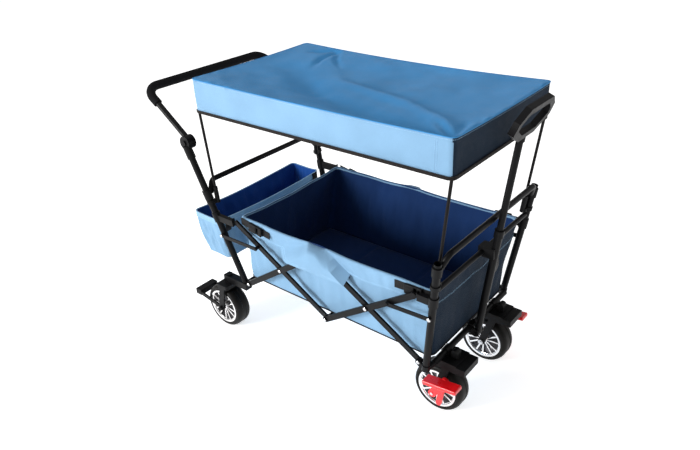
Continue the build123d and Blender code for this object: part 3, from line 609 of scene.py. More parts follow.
# The canopy's front wall and top panel take darker copies of its cloth: painted shade.
panels(canopy, canopy_high.x - 0.02, SIDE_PAIR + FRONT_PAINTED_SHADE_PAIR + TOP_PAINTED_SHADE_PAIR,
       canopy_high.z - CANOPY_DROP * 0.8)
thicken(canopy, CANOPY_WALL)
print("canopy", len(canopy.data.polygons), "faces")

# %% [markdown]
# The top panel and the side panels meet in a welt: the seam allowance is folded under and topstitched, so the
# edge is a slim raised cord with a row of stitches below it. The hem is bound with dark tape round the rim.

# %% Canopy seams and hem


def edge_line(half_x, half_y, radius, steps, height):
    """Closed line round a rounded rectangle; height(x, y) gives each point's z."""
    line = []
    for side in range(4):
        for step in range(steps):
            run = -1 + 2 * step / steps
            x, y = ((run, -1), (1, run), (-run, 1), (-1, -run))[side]
            px, py = rounded(x, y, half_x, half_y, radius)
            line.append(Vector((px + CANOPY_MID.x, py, height(x, y))))
    return line


def seam_height(drop):
    return lambda x, y: canopy_high.z + canopy_top(x, y) - drop


top_seam = edge_line(CANOPY_HALF_X - 0.0005, CANOPY_HALF_Y - 0.0005, CANOPY_CORNER, 90, seam_height(0.0030))
# The welt takes the top panel's painted shade colour.
canopy_welt = welt("canopy_welt", [top_seam], 0.0017, "canopy_cloth", closed=True)
row_one = edge_line(CANOPY_HALF_X + 0.0002, CANOPY_HALF_Y + 0.0002, CANOPY_CORNER, 90, seam_height(0.0085))
canopy_stitches = stitches("canopy_stitches", [row_one + row_one[:1]])
hem_half = (CANOPY_HALF_X + 0.0004, CANOPY_HALF_Y + 0.0004)
hem_top = edge_line(*hem_half, CANOPY_CORNER, 60, lambda x, y: canopy_low.z + 0.010)
hem_low = edge_line(*hem_half, CANOPY_CORNER, 60, lambda x, y: canopy_low.z + 0.001)
canopy_hem = ribbon("canopy_hem", (hem_top, hem_low), 0.0034, "dark_binding", closed=True)

PANEL_SEAM_BACK = 0.052     # side panel's end seam, from the front corner
seam_lines = []
for side in (-1, 1):
    for shift in (0.0, 0.006):
        place_x = (canopy_high.x - PANEL_SEAM_BACK + shift - CANOPY_MID.x) / CANOPY_HALF_X
        rows = []
        for row in range(2, 41):
            share = row / 42
            level_place = canopy_place(place_x, side, max(1, share * VALANCE_ROWS))
            rows.append(Vector(level_place) + Vector((0, side * 0.0007, 0)))
        seam_lines.append(rows)
canopy_side_stitches = stitches("canopy_side_stitches", seam_lines)
for piece in (canopy, canopy_welt, canopy_stitches, canopy_hem, canopy_side_stitches):
    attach(piece, "rear_frame")
    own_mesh(piece)
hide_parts("canopy_fabric")

# %% [markdown]
# ## Tub
# The tub is one sewn box: a flat floor and four walls that lean out to the rim. The rim carries a wide cuff,
# folded over to the outside and stitched along its lower edge. At mid length the cuff stands away from the wall
# and makes a flap, because the tops of the scissor links come up there.

# %% Tub sizes
tub_low, tub_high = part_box("tub_fabric")
TUB_TOP_HALF_Y = (tub_high.y - tub_low.y) / 2
tub_mat_low, tub_mat_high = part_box("tub_mat")
SIDE_INSET = 0.0085
TUB_LOW_HALF_Y = tub_mat_high.y + SIDE_INSET
TUB_LOW_REAR = tub_mat_low.x - SIDE_INSET
TUB_LOW_FRONT = tub_mat_high.x + SIDE_INSET
TUB_FLOOR = tub_low.z + 0.0015
TUB_ROWS = 16
TUB_CORNER = 0.022
CLOTH_WALL = 0.0018       # padded cloth of the tub and the basket
mid_bar_x = middle("mid_cross_bar").x
tub_rim_rear = tub_low.x + 0.030
tub_rim_front = tub_high.x
print("tub", [round(v, 3) for v in (TUB_TOP_HALF_Y, TUB_LOW_HALF_Y, TUB_FLOOR, tub_high.z)])

# %% Tub walls


def rim_height(x, y):
    """The rim droops a little between the posts and rises at the corners."""
    droop = -0.004 * (1 - x * x) if abs(y) > 0.98 else -0.010 * (1 - y * y)
    lift = 0.0
    if abs(y) > 0.98:
        from_mid = x * (tub_rim_front - tub_rim_rear) / 2 + (tub_rim_front + tub_rim_rear) / 2 - mid_bar_x
        lift = 0.006 * math.exp(-(from_mid / 0.07) ** 2)
    return tub_high.z - 0.002 + droop + lift + ripple((x, y, 0.0), 2.6, 0.004)


def tub_outline(x, y, share, out=0.0):
    """Point on the tub's wall at a share of its height, pushed outward by out."""
    rear = TUB_LOW_REAR + (tub_rim_rear - TUB_LOW_REAR) * share
    front = TUB_LOW_FRONT + (tub_rim_front - TUB_LOW_FRONT) * share
    half_y = TUB_LOW_HALF_Y + (TUB_TOP_HALF_Y - TUB_LOW_HALF_Y) * share
    half_x = (front - rear) / 2
    px, py = rounded(x, y, half_x + out, half_y + out, TUB_CORNER)
    return px + (rear + front) / 2, py


def wall_folds(x, y, share):
    """Cloth between the corners: it bellies a little, and folds run down from the rim."""
    across = y if abs(x) > abs(y) else x
    long_side = abs(y) >= abs(x)
    belly = math.sin(share * math.pi) * (1 - across * across)
    folds = ripple((x * 5 + share, y * 3, share * 1.5), 1.5, 0.006)
    folds += ripple((x * 14, y * 8, share * 2.0 + 4), 1.3, 0.0028)
    pulled = math.sin((abs(across) * 9 + share * 5)) * max(0.0, abs(across) - 0.55) * 0.006
    inward = (0.004 if long_side else 0.003) * belly
    return (folds + pulled) * math.sin(share * math.pi) ** 0.5 - inward


def tub_place(x, y, level):
    if level == 0:
        px, py = tub_outline(x, y, 0.0)
        return px, py, TUB_FLOOR
    share = level / TUB_ROWS
    px, py = tub_outline(x, y, share, wall_folds(x, y, share) - 0.001)
    return px, py, TUB_FLOOR + (rim_height(x, y) - TUB_FLOOR) * share


tub = tray("tub_cloth_body", 120, 66, TUB_ROWS, tub_place)
# The tub's front wall takes the painted shade finish, and its third pair is the painted shadow behind the flap.
panels(tub, TUB_LOW_FRONT - 0.01, SIDE_PAIR + FRONT_PAINTED_SHADE_PAIR + FLAP_SHADOW_PAIR)
FLAP_SHADE = 0.085        # how far down the wall behind the flap is painted shadow in the dark lining colour
# Painted shadow: the outer wall behind the flap takes the dark lining colour where the flap shades it.
for face in tub.data.polygons:
    under_rim = (tub_high.z - face.center.z) / FLAP_SHADE
    from_mid = face.center.x - mid_bar_x
    if abs(face.center.y) > 0.2 and under_rim < 1 and -0.09 < from_mid < 0.026 + 0.080 * under_rim:
        face.material_index = 4
thicken(tub, CLOTH_WALL)
print("tub", len(tub.data.polygons), "faces")

# %% [markdown]
# The cuff is a ring of cloth that follows the rim. It is a grid whose two ends meet, wrapped round the rim and
# down its outer side, so its top edge is a soft fold and its lower edge stands free at the flap.

# %% Tub cuff
CUFF_DEPTH = 0.058
CUFF_WALL = 0.0013
CUFF_STAND = 0.0042       # cuff's middle to the tub's wall, on both sides of the rim
RIM_TURN = 0.004          # height of the fold over the rim
FLAP_FALL = 0.011         # how far the flap's top slopes down to its outer edge
FOLD_SHARE = 0.25         # share of the cuff that is the fold over the rim
POCKET_REACH = 0.0320     # how far the flap stands out from the wall, over the links
POCKET_REAR = (-0.050, -0.012)      # where the cuff leaves the wall at the rim, from the middle joint
REAR_SWEEP = (-0.130, -0.100)       # how much further back that is along its lower edge
POCKET_CLOSE = (0.010, 0.030)       # where the flap comes back to the wall at the rim
FLAP_SWEEP = 0.085        # how far forward the flap's point is swept


def perimeter(u):
    """x and y from -1 to 1 on the square's edge, for u from 0 to 1 round the rim."""
    side, run = divmod((u % 1.0) * 4, 1.0)
    run = -1 + 2 * run
    return ((run, -1), (1, run), (-run, 1), (-1, -run))[int(side) % 4]


def ease(value, start, stop):
    share = max(0.0, min(1.0, (value - start) / (stop - start)))
    return share * share * (3 - 2 * share)


def pocket(x, y, down):
    """How far the cuff is open here, 0 to 1, and how far its point is swept forward."""
    if abs(y) < 0.99:
        return 0.0, 0.0
    from_mid = tub_outline(x, y, 1.0)[0] - mid_bar_x
    sweep = FLAP_SWEEP * down * math.exp(-((from_mid - POCKET_CLOSE[1]) / 0.09) ** 2)
    if from_mid > POCKET_CLOSE[1]:
        return 0.0, sweep
    closing = ease(from_mid, *POCKET_CLOSE) * max(0.0, 1 - 2.2 * down)
    leaves = [at_rim + down * further for at_rim, further in zip(POCKET_REAR, REAR_SWEEP)]
    return ease(from_mid, *leaves) * (1 - closing), sweep


def cuff_place(u, v):
    """v runs from inside the rim, over the fold and down the outer side."""
    x, y = perimeter(u)
    top = rim_height(x, y)
    down = max(0.0, (v - FOLD_SHARE) / (1 - FOLD_SHARE))
    open_here, sweep = pocket(x, y, down)
    if v < FOLD_SHARE:
        turn = v / FOLD_SHARE
        out = -CUFF_STAND + 2 * CUFF_STAND * turn
        height = top - RIM_TURN * (1 - math.sin(turn * math.pi)) - 0.010 * max(0.0, 0.35 - turn)
        out += open_here * POCKET_REACH * ease(turn, 0.25, 1.0)
        height -= open_here * FLAP_FALL * turn
    else:
        depth = CUFF_DEPTH * (1 + 0.10 * noise.noise(Vector((x * 4, y * 4, 2))) + 0.35 * open_here)
        height = top - RIM_TURN - open_here * FLAP_FALL - depth * down
        out = CUFF_STAND - 0.0016 * down + open_here * (POCKET_REACH + 0.004 * math.sin(down * math.pi))
        loose = (0.3 + down * (1 - down) * 2) * (1 - 0.7 * open_here)
        out += ripple((x * 7, y * 5, down * 0.7), 2.2, 0.0035) * loose
    share = (height - TUB_FLOOR) / (top - TUB_FLOOR)
    px, py = tub_outline(x, y, share, out)
    return Vector((px + sweep, py, height))


def sheet_grid(name, columns, rows, place):
    """Grid wrapped into any sheet: place(u, v) gives each point."""
    fresh()
    bpy.ops.mesh.primitive_grid_add(x_subdivisions=columns, y_subdivisions=rows, size=1)
    obj = named(name)
    for vertex in obj.data.vertices:
        vertex.co = place(vertex.co.x + 0.5, vertex.co.y + 0.5)
    return merge(obj)


cuff = sheet_grid("tub_cuff", 640, 20, cuff_place)
# The cuff's front takes the painted shade finish.
panels(cuff, tub_rim_front - 0.03, SIDE_PAIR + FRONT_PAINTED_SHADE_PAIR)
thicken(cuff, CUFF_WALL, 0.0)
cuff_lines = []
for edge_share in (0.93, 0.86):
    row = [cuff_place(step / 400, FOLD_SHARE + (1 - FOLD_SHARE) * edge_share) for step in range(401)]
    outward = []
    for step, point in enumerate(row):
        x, y = perimeter(step / 400)
        away = Vector((x if abs(x) > abs(y) else 0, y if abs(y) >= abs(x) else 0, 0)).normalized()
        if outward and (point - outward[-1]).length > 0.013:
            cuff_lines.append(outward)
            outward = []
        outward.append(point + away * 0.0008)
    cuff_lines.append(outward)
cuff_stitches = stitches("tub_cuff_stitches", cuff_lines)
print("cuff", len(cuff.data.polygons), "faces")

# %% Tub bottom binding and corner seams
corner_lines = []
for corner_x in (-1, 1):
    for corner_y in (-1, 1):
        rows = []
        for row in range(1, 40):
            share = row / 44
            height = TUB_FLOOR + (tub_high.z - TUB_FLOOR) * share
            px, py = tub_outline(corner_x * 0.985, corner_y, share, 0.0012)
            rows.append(Vector((px, py, height)))
        corner_lines.append(rows)
corner_stitches = stitches("tub_corner_stitches", corner_lines)
floor_line = []
for step in range(240):
    x, y = perimeter(step / 240)
    px, py = tub_outline(x, y, 0.0, 0.0008)
    floor_line.append(Vector((px, py, TUB_FLOOR + 0.0022)))
floor_binding = welt("tub_floor_binding", [floor_line], 0.0022, "dark_binding", closed=True)

# %% [markdown]
# The mat in the tub is a thin pad, quilted in three panels so that it folds up with the cart. It is a swollen slab
# with sewn channels, shaped directly.

# %% Quilted mat
MAT_CHANNELS = 3


def mat_place(u, v):
    px = tub_mat_low.x + (tub_mat_high.x - tub_mat_low.x) * u
    py = tub_mat_low.y + (tub_mat_high.y - tub_mat_low.y) * v
    panel = abs(math.sin(u * math.pi * MAT_CHANNELS))
    puff = min(1.0, panel * 5) ** 0.6 * min(1.0, 14 * min(v, 1 - v)) ** 0.6
    puff *= 1 + 0.2 * noise.noise(Vector((px * 9, py * 9, 0)))
    thick = (tub_mat_high.z - tub_mat_low.z) - 0.0012
    return Vector((px, py, tub_mat_low.z + 0.0012 + thick * (0.35 + 0.55 * puff)))


mat = sheet_grid("tub_mat_pad", 120, 66, mat_place)
edit(mat, lambda: bpy.ops.mesh.extrude_region_move(TRANSFORM_OT_translate={"value": (0, 0, -0.001)}))
paint(mat, "deep_cloth")
smooth(box_uv(mat), 60.0)

# %% Everything sewn to the tub folds with it
sewn_to_tub = (cuff, cuff_stitches, corner_stitches, floor_binding)
for piece in (tub, mat, *sewn_to_tub):
    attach(piece, "rear_frame")
    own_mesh(piece)
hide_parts("tub_fabric")
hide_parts("tub_mat")

# %% [markdown]
# ## Basket
# The basket behind the tub is a soft bag with a bound rim. It hangs from two loops on the rear posts, so its rim
# dips between them and its floor and corners are rounded.

# %% Basket
basket_low, basket_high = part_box("rear_basket")
BASKET_MID_X = (basket_low.x + basket_high.x) / 2
BASKET_HALF_X = (basket_high.x - basket_low.x) / 2
BASKET_HALF_Y = (basket_high.y - basket_low.y) / 2
BASKET_ROWS = 12
BASKET_CORNER = 0.020
BASKET_INSET = 0.0015     # the cloth's middle, in from the basket's outer side


def basket_rim(x, y):
    droop = 0.010 * (1 - y * y) if abs(x) > 0.98 else 0.004 * (1 - x * x)
    return basket_high.z - 0.003 - droop + ripple((x, y * 1.2, 7), 1.0, 0.003)


def basket_outline(x, y, share, out=0.0):
    narrow = 0.018 * (1 - share) ** 2 if share < 1 else 0.0
    half_x = BASKET_HALF_X - BASKET_INSET - narrow * 0.6 + out
    half_y = BASKET_HALF_Y - BASKET_INSET - narrow + out
    px, py = rounded(x, y, half_x, half_y, BASKET_CORNER)
    return px + BASKET_MID_X + narrow * 0.5, py


def basket_place(x, y, level):
    if level == 0:
        px, py = basket_outline(x, y, 0.0)
        sag = 0.006 * (1 - x * x) * (1 - y * y)
        return px, py, basket_low.z + 0.008 - sag + ripple((px, py, 0), 12.0, 0.003)
    share = level / BASKET_ROWS
    across = y if abs(x) > abs(y) else x
    folds = ripple((x * 4 + share, y * 5, share * 2 + 9), 1.5, 0.007) - 0.004 * (1 - across * across)
    folds *= math.sin(share * math.pi) ** 0.6
    px, py = basket_outline(x, y, share, min(0.002, folds) - 0.001)
    base = basket_low.z + 0.008
    return px, py, base + (basket_rim(x, y) - base) * share


basket = tray("basket_body", 30, 90, BASKET_ROWS, basket_place)
finish_cloth(basket, CLOTH_WALL, "sky_cloth", "basket_lining")
basket_edges = [], []
for step in range(300):
    x, y = perimeter(step / 300)
    px, py = basket_outline(x, y, 1.0, 0.0002)
    basket_edges[0].append(Vector((px, py, basket_rim(x, y) + 0.0015)))
    basket_edges[1].append(Vector((px, py, basket_rim(x, y) - 0.019)))
basket_binding = ribbon("basket_binding", basket_edges, 0.0036, "rim_binding", closed=True)
basket_row = []
for step in range(301):
    x, y = perimeter(step / 300)
    px, py = basket_outline(x, y, 1.0, 0.0024)
    basket_row.append(Vector((px, py, basket_rim(x, y) - 0.0160)))
basket_stitches = stitches("basket_stitches", [basket_row])
print("basket", len(basket.data.polygons), "faces")

# %% [markdown]
# ## Webbing and buckles
# Webbing is a flat woven tape, and each side-release buckle is two mouldings: a frame with a window, and a clip
# with two prongs inside it. One buckle is modelled and copied to the four corners of the tub.

# %% Straps
STRAP_WIDTH = 0.025
STRAP_WALL = 0.0018
STRAP_OUT = 0.0088        # from the tub's wall to the strap, over the cuff


def strap(name, points, across, material="webbing"):
    """Webbing along the points; across is the direction of its width."""
    half = Vector(across).normalized() * STRAP_WIDTH / 2
    return ribbon(name, ([p - half for p in points], [p + half for p in points]), STRAP_WALL, material)


def moulding(name, size, at, width=0.0015):
    """Small plastic block with rounded edges, shaped from a cube by a bevel."""
    fresh()
    bpy.ops.mesh.primitive_cube_add(size=1, location=at)
    obj = named(name)
    obj.scale = size
    apply_place(obj)
    return modify(obj, "BEVEL", width=width, segments=3, limit_method="ANGLE")


def buckle(name):
    """Side-release buckle along X, with its face to -Y."""
    frame_part = moulding("buckle_frame", (0.034, 0.0085, 0.031), (-0.015, 0, 0), 0.0025)
    spine = moulding("buckle_spine", (0.024, 0.0105, 0.010), (-0.014, 0, 0), 0.002)
    clip = moulding("buckle_clip", (0.014, 0.0085, 0.031), (0.018, 0, 0), 0.0025)
    prongs = [moulding("prong", (0.020, 0.006, 0.0042), (0.004, 0, side * 0.0125), 0.0012) for side in (-1, 1)]
    bar = moulding("buckle_bar", (0.004, 0.011, 0.028), (0.025, 0, 0), 0.0015)
    obj = join([frame_part, spine, clip, *prongs, bar], name)
    paint(obj, "black_plastic")
    return smooth(obj, 35.0)


def tub_side_point(x_place, side, height, out):
    """Point on the outer side of the tub at a real x, on the near or far side."""
    share = (height - TUB_FLOOR) / (tub_high.z - TUB_FLOOR)
    low, high = -1.0, 1.0
    for _ in range(24):
        guess = (low + high) / 2
        if tub_outline(guess, side, share, out)[0] < x_place:
            low = guess
        else:
            high = guess
    px, py = tub_outline(low, side, share, out)
    return Vector((px, py, height))


corner_pieces = []
for end, body, start_x, stop_x, start_drop, stop_drop in (
        ("rear", "rear_frame", tub_rim_rear + 0.010, tub_rim_rear + 0.135, 0.012, 0.034),
        ("front", "front_frame", tub_rim_front - 0.125, tub_rim_front - 0.004, 0.022, 0.016)):
    for side_name, side in (("near", -1), ("far", 1)):
        line = []
        for step in range(17):
            share = step / 16
            x_here = start_x + (stop_x - start_x) * share
            height = tub_high.z - start_drop - (stop_drop - start_drop) * share
            line.append(tub_side_point(x_here, side, height, STRAP_OUT))
        tape = strap(f"tub_strap_{end}_{side_name}", line, (0, 0, 1))
        place = line[9] + Vector((0, side * 0.005, 0))
        clasp = buckle(f"tub_buckle_{end}_{side_name}")
        lean = math.atan2(line[10].z - line[8].z, line[10].x - line[8].x)
        clasp.data.transform(Matrix.Translation(place) @ Matrix.Rotation(-lean, 4, "Y"))
        for piece in (tape, clasp):
            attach(piece, body)
        corner_pieces += [tape, clasp]

loop_line = []
for step in range(21):
    share = step / 20
    height = tub_high.z - 0.035 - 0.115 * share
    wall_share = (height - TUB_FLOOR) / (tub_high.z - TUB_FLOOR)
    wall_x = TUB_LOW_FRONT + (tub_rim_front - TUB_LOW_FRONT) * wall_share
    loop_line.append(Vector((wall_x + 0.004 + 0.016 * math.sin(share * math.pi), 0.085 + 0.02 * share, height)))
front_loop = strap("tub_front_loop", loop_line, (0, 1, 0))
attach(front_loop, "front_frame")
basket_straps = []
for side_name, side in (("near", -1), ("far", 1)):
    at_y = side * (BASKET_HALF_Y - 0.030)
    line = [Vector((basket_high.x + 0.001 + 0.004 * math.sin(step / 8 * math.pi), at_y,
                    basket_high.z - 0.055 + 0.05 * step / 8)) for step in range(9)]
    basket_straps.append(strap(f"basket_strap_{side_name}", line, (0, 1, 0)))
for piece in (basket, basket_binding, basket_stitches, *basket_straps):
    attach(piece, "rear_frame")
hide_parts("rear_basket")
print("straps and buckles", len(corner_pieces))

# %% [markdown]
# ## Foam grip
# The grip is closed-cell foam pushed over the handle's crossbar and round both bends. A curve gives the bend,
# and its round profile becomes the mesh.

# %% Foam
foam_low, foam_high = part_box("push_handle_foam")
tube_low, tube_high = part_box("push_handle_tube")
FOAM_R = 0.0150
BAR_X, BAR_Z = foam_low.x + FOAM_R, foam_high.z - FOAM_R
hinge_at = Vector(JOINTS["push_handle_tilt"]["pos_m"])
leg = Vector((hinge_at.x - BAR_X, 0, hinge_at.z - BAR_Z))
BAR_HALF_Y = foam_high.y - FOAM_R
BEND = 0.048
foam_points = []
leg_direction = leg.normalized()
leg_reach = (foam_high.x - 0.004 - BAR_X) / leg_direction.x
for side in (-1, 1):
    corner = Vector((BAR_X, side * BAR_HALF_Y, BAR_Z))
    inward = Vector((0, -side, 0))
    stretch = [corner + leg_direction * (leg_reach + (BEND - leg_reach) * step / 4) for step in range(5)]
    centre = corner + leg_direction * BEND + inward * BEND
    bend_points = [centre - inward * BEND * math.cos(turn) - leg_direction * BEND * math.sin(turn)
                   for turn in [math.pi / 2 * step / 10 for step in range(1, 11)]]
    run = stretch + bend_points
    foam_points += run if side < 0 else run[::-1]
foam = welt("handle_foam", [foam_points], FOAM_R, "foam", sides=10)
fresh()
smooth(foam, 45.0)
foam_rings = []
for end_point, direction in ((foam_points[0], leg_direction), (foam_points[-1], leg_direction)):
    bpy.ops.mesh.primitive_torus_add(major_radius=FOAM_R - 0.0028, minor_radius=0.0030, major_segments=40,
                                     minor_segments=12, location=end_point,
                                     rotation=direction.to_track_quat("Z", "Y").to_euler())
    foam_rings.append(apply_place(named("foam_end")))
foam = join([foam, *foam_rings], "handle_foam")
paint(foam, "foam")
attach(foam, "push_handle")
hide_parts("push_handle_foam")
print("foam", len(foam.data.polygons), "faces")

# %% [markdown]
# ## Wheels
# A soft tyre sits on a bright rim. Both are round, so one half profile is spun about the axle. The spokes are one
# blade, beveled and copied round the hub. The wheel is made once at the origin and then copied to the four axles.

# %% Wheel sizes and the tyre
tyre_low, tyre_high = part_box("front_tyre_near")
WHEEL_R = (tyre_high.z - tyre_low.z) / 2
WHEEL_HALF = (tyre_high.y - tyre_low.y) / 2
RIM_R = 0.0672


def spun(name, profile, material, closed=True, steps=72):
    """Spin a profile of (radius, y) points once round the Y axis."""
    mesh = bpy.data.meshes.new(name)
    edges = [(i, i + 1) for i in range(len(profile) - 1)]
    if closed:
        edges.append((len(profile) - 1, 0))
    mesh.from_pydata([(radius, y, 0) for radius, y in profile], edges, [])
    obj = put(name, mesh)
    edit(obj, lambda: bpy.ops.mesh.spin(steps=steps, angle=2 * math.pi, center=(0, 0, 0), axis=(0, 1, 0)),
         lambda: bpy.ops.mesh.select_all(action="SELECT"),
         lambda: bpy.ops.mesh.remove_doubles(threshold=0.00002),
         lambda: bpy.ops.mesh.normals_make_consistent(inside=False))
    return paint(smooth(obj, 30.0), material)


SHOULDER = 0.019
tyre_profile = [(RIM_R, -WHEEL_HALF + 0.004), (RIM_R + 0.0025, -WHEEL_HALF + 0.0008)]
tyre_profile += [(RIM_R + 0.0050, -WHEEL_HALF), (RIM_R + 0.0058, -WHEEL_HALF + 0.0010),
                 (RIM_R + 0.0070, -WHEEL_HALF + 0.0006)]
for step in range(11):
    turn = math.pi / 2 * step / 10
    shoulder_r = WHEEL_R - SHOULDER * 0.62 + SHOULDER * 0.62 * math.sin(turn)
    shoulder_y = -WHEEL_HALF + SHOULDER - SHOULDER * math.cos(turn)
    tyre_profile.append((shoulder_r, shoulder_y + 0.0006 * (1 - step / 10)))
GROOVE_Y = -0.006
tyre_profile += [(WHEEL_R, GROOVE_Y - 0.0016), (WHEEL_R - 0.0012, GROOVE_Y - 0.0006)]
tyre_profile += [(radius, -y) for radius, y in reversed(tyre_profile)]
tyre_model = spun("tyre_model", tyre_profile, "tyre", steps=96)

# %% Rim, spokes and hub
LIP = [(RIM_R - 0.0002, -0.0285), (RIM_R - 0.0010, -0.0302), (RIM_R - 0.0040, -0.0306), (RIM_R - 0.0075, -0.0298),
       (RIM_R - 0.0090, -0.0270), (RIM_R - 0.0105, -0.0262), (RIM_R - 0.0110, -0.0180), (RIM_R - 0.0125, -0.0060)]
lip_profile = LIP + [(radius, -y) for radius, y in reversed(LIP)]
rim_ring = spun("rim_ring", lip_profile, "chrome")
plate_profile = [(0.010, -0.0045), (RIM_R - 0.012, -0.0035), (RIM_R - 0.012, 0.0035), (0.010, 0.0045)]
back_plate = spun("rim_back", plate_profile, "rim_dark")
hub_profile = [(0.0055, -0.0295), (0.0125, -0.0295), (0.0150, -0.0280), (0.0158, -0.0250), (0.0185, -0.0150),
               (0.0190, 0.0), (0.0185, 0.0150), (0.0158, 0.0250), (0.0150, 0.0280), (0.0125, 0.0295),
               (0.0055, 0.0295)]
hub = spun("rim_hub", hub_profile, "chrome", steps=48)
SPOKES = 6
blades = []
for face in (-1, 1):
    for index in range(SPOKES):
        for fork in (-1, 1):
            fresh()
            bpy.ops.mesh.primitive_cube_add(size=1)
            blade = named("blade")
            for vertex in blade.data.vertices:
                outer = vertex.co.x > 0
                radius = RIM_R - 0.0095 if outer else 0.0140
                width = 0.0062 if outer else 0.0048
                depth = 0.0240 if outer else 0.0215
                spread = fork * (0.0130 if outer else 0.0034)
                thick = 0.0036 if vertex.co.y * face > 0 else -0.0036
                vertex.co = (radius, face * depth + face * thick, spread + vertex.co.z * width)
            modify(blade, "BEVEL", width=0.0012, segments=2, limit_method="ANGLE")
            blade.data.transform(Matrix.Rotation(2 * math.pi * (index + 0.25 * (face > 0)) / SPOKES, 4, "Y"))
            face_out(blade)
            blades.append(paint(blade, "chrome"))
spokes = smooth(join(blades, "rim_spokes"), 35.0)
wheel_rim = join([rim_ring, back_plate, hub, spokes], "rim_model")
print("rim", len(wheel_rim.data.polygons), "faces; tyre", len(tyre_model.data.polygons))

# %% Wheels on their axles


def copied(model, name, place):
    obj = model.copy()
    obj.data = model.data.copy()
    obj.name = obj.data.name = name
    bpy.context.scene.collection.objects.link(obj)
    obj.data.transform(place)
    return obj


WHEEL_TURN = {"near": 17, "far": 40}        # degrees, so that the spokes of two wheels don't line up
for end in ("front", "rear"):
    for side in ("near", "far"):
        place = Matrix.Translation(middle(f"{end}_tyre_{side}"))
        turn = Matrix.Rotation(math.radians(WHEEL_TURN[side]), 4, "Y")
        for model, kind, slot_name in ((tyre_model, "tyre", "tyre_rubber"), (wheel_rim, "rim", "wheel_silver")):
            piece = copied(model, f"{end}_wheel_{kind}_{side}", place @ turn)
            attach(piece, f"{end}_wheel_{side}")
            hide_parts(f"{end}_{kind}_{side}")
for model in (tyre_model, wheel_rim):
    bpy.data.objects.remove(model)
print("wheels placed")

# %% [markdown]
# ## Rivets
# The links turn on rivets whose heads are bare steel. Each head is a low dome, placed on its joint and turned to
# the joint's own axis.

# %% Rivet heads
RIVET_R = 0.0062
LINK_FACE = 0.0075
HEAD_FACE = 0.0111
STAY_FACE = 0.0038


def rivet(name, joint_name, lift, body, side):
    joint = JOINTS[joint_name]
    axis = Vector(joint["axis"]).normalized()
    if axis.y * side < 0:
        axis = -axis
    profile = [(0.0, 0.0028), (RIVET_R * 0.45, 0.0025), (RIVET_R * 0.8, 0.0015),
               (RIVET_R, 0.0003), (RIVET_R, -0.0004), (0.0, -0.0004)]
    head = spun(name, profile, "steel", closed=False, steps=28)
    turn = axis.to_track_quat("Y", "Z").to_matrix().to_4x4()
    head.data.transform(Matrix.Translation(Vector(joint["pos_m"]) + axis * lift) @ turn)
    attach(head, body)


count = 0
for side_name, side in (("near", -1), ("far", 1)):
    base = "fold" if side_name == "near" else "fold_link_b_far"
    rows = [(base, HEAD_FACE, "rear_frame"),
            (f"fold_link_a_{side_name}", LINK_FACE, f"link_b_{side_name}"),
            (f"fold_link_d_{side_name}", LINK_FACE, f"link_b_{side_name}"),
            (f"fold_link_c_{side_name}", HEAD_FACE, f"link_d_{side_name}"),
            (f"fold_rear_stay_{side_name}", STAY_FACE, f"rear_stay_{side_name}"),
            (f"fold_front_stay_{side_name}", STAY_FACE, f"front_stay_{side_name}")]
    if side_name == "near":
        rows += [("fold_mid_bar", HEAD_FACE, "mid_bar"), ("fold_front_frame", LINK_FACE, "front_frame")]
    for joint_name, lift, body in rows:
        count += 1
        rivet(f"rivet_{count}", joint_name, lift, body, side)
print("rivets", count)

# %% [markdown]
# ## Floor, light and camera
# The cart stands on a plain pale floor. One large soft light on its near side does most of the work, so that the
# front is in shade, and a weak one above lifts the top.

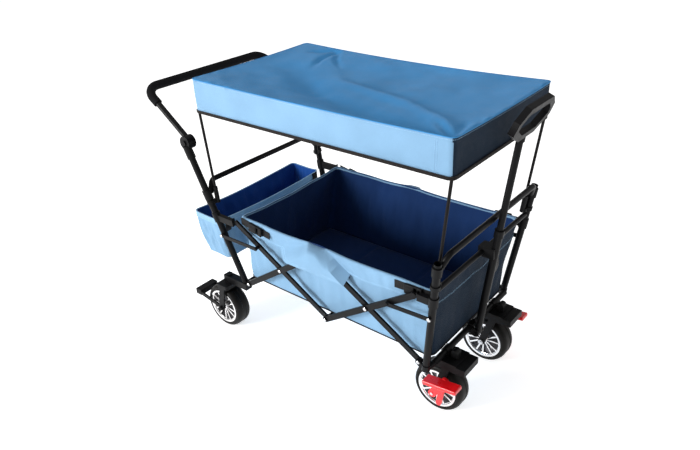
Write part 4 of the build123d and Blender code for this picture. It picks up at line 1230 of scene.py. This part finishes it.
# %% Floor
FLOOR_GLOW = 0.62
AIR_LIGHT = 0.42
fresh()
bpy.ops.mesh.primitive_plane_add(size=60, location=(0, 0, -0.0005))
floor = named("studio_floor")
floor_wiring = Wiring("studio_floor")
floor_tone = floor_wiring.ramp(floor_wiring.noise(0.4), (0.3, (0.94, 0.94, 0.94)), (0.7, (0.96, 0.96, 0.96)))
floor_wiring.link(floor_tone, floor_wiring.shader.inputs["Base Color"])
floor_wiring.shader.inputs["Roughness"].default_value = 0.9
floor_wiring.shader.inputs["Emission Color"].default_value = (1, 1, 1, 1)
floor_wiring.shader.inputs["Emission Strength"].default_value = FLOOR_GLOW
floor.data.materials.append(floor_wiring.material)

# %% Lights


def soft_light(name, place, target, size, power):
    fresh()
    bpy.ops.object.light_add(type="AREA", location=place)
    light = bpy.context.object
    light.name = name
    light.data.size = size
    light.data.energy = power
    light.rotation_euler = (Vector(target) - Vector(place)).to_track_quat("-Z", "Y").to_euler()
    return light


soft_light("near_side", (-2.2, -4.4, 1.7), (0, 0, 0.5), 1.6, 245)
soft_light("above", (-0.8, -0.4, 4.6), (0, 0, 0.5), 4.0, 45)
soft_light("edge", (2.6, 3.4, 2.4), (0, 0, 0.5), 1.4, 14)
world = bpy.data.worlds.new("studio_air")
world.use_nodes = True
world.node_tree.nodes["Background"].inputs["Color"].default_value = (1, 1, 1, 1)
world.node_tree.nodes["Background"].inputs["Strength"].default_value = AIR_LIGHT
bpy.context.scene.world = world
bpy.context.scene.view_settings.view_transform = "Standard"

# %% Camera
FRONT_SHIFT = mid_bar_x - 0.003      # the drawing's own x zero, where the camera was placed from
AZIMUTH, ELEVATION, ROLL = math.radians(39.84), math.radians(28.67), math.radians(-2.57)
level = math.cos(ELEVATION)
back = Vector((math.sin(AZIMUTH) * level, -math.cos(AZIMUTH) * level, math.sin(ELEVATION)))
side_way = Vector((0, 0, 1)).cross(back).normalized()
up_way = back.cross(side_way)
right = math.cos(ROLL) * side_way + math.sin(ROLL) * up_way
up = -math.sin(ROLL) * side_way + math.cos(ROLL) * up_way
bpy.ops.object.camera_add()
camera = bpy.context.object
camera.data.lens = 33.50
camera.data.sensor_width = 36.0
camera.data.shift_x = -0.0012
camera.data.shift_y = 0.0015
camera.matrix_world = Matrix.Translation((1.17277 + FRONT_SHIFT, -1.50181, 1.50375)) @ Matrix(
    (right, up, back)).transposed().to_4x4()
bpy.context.scene.camera = camera
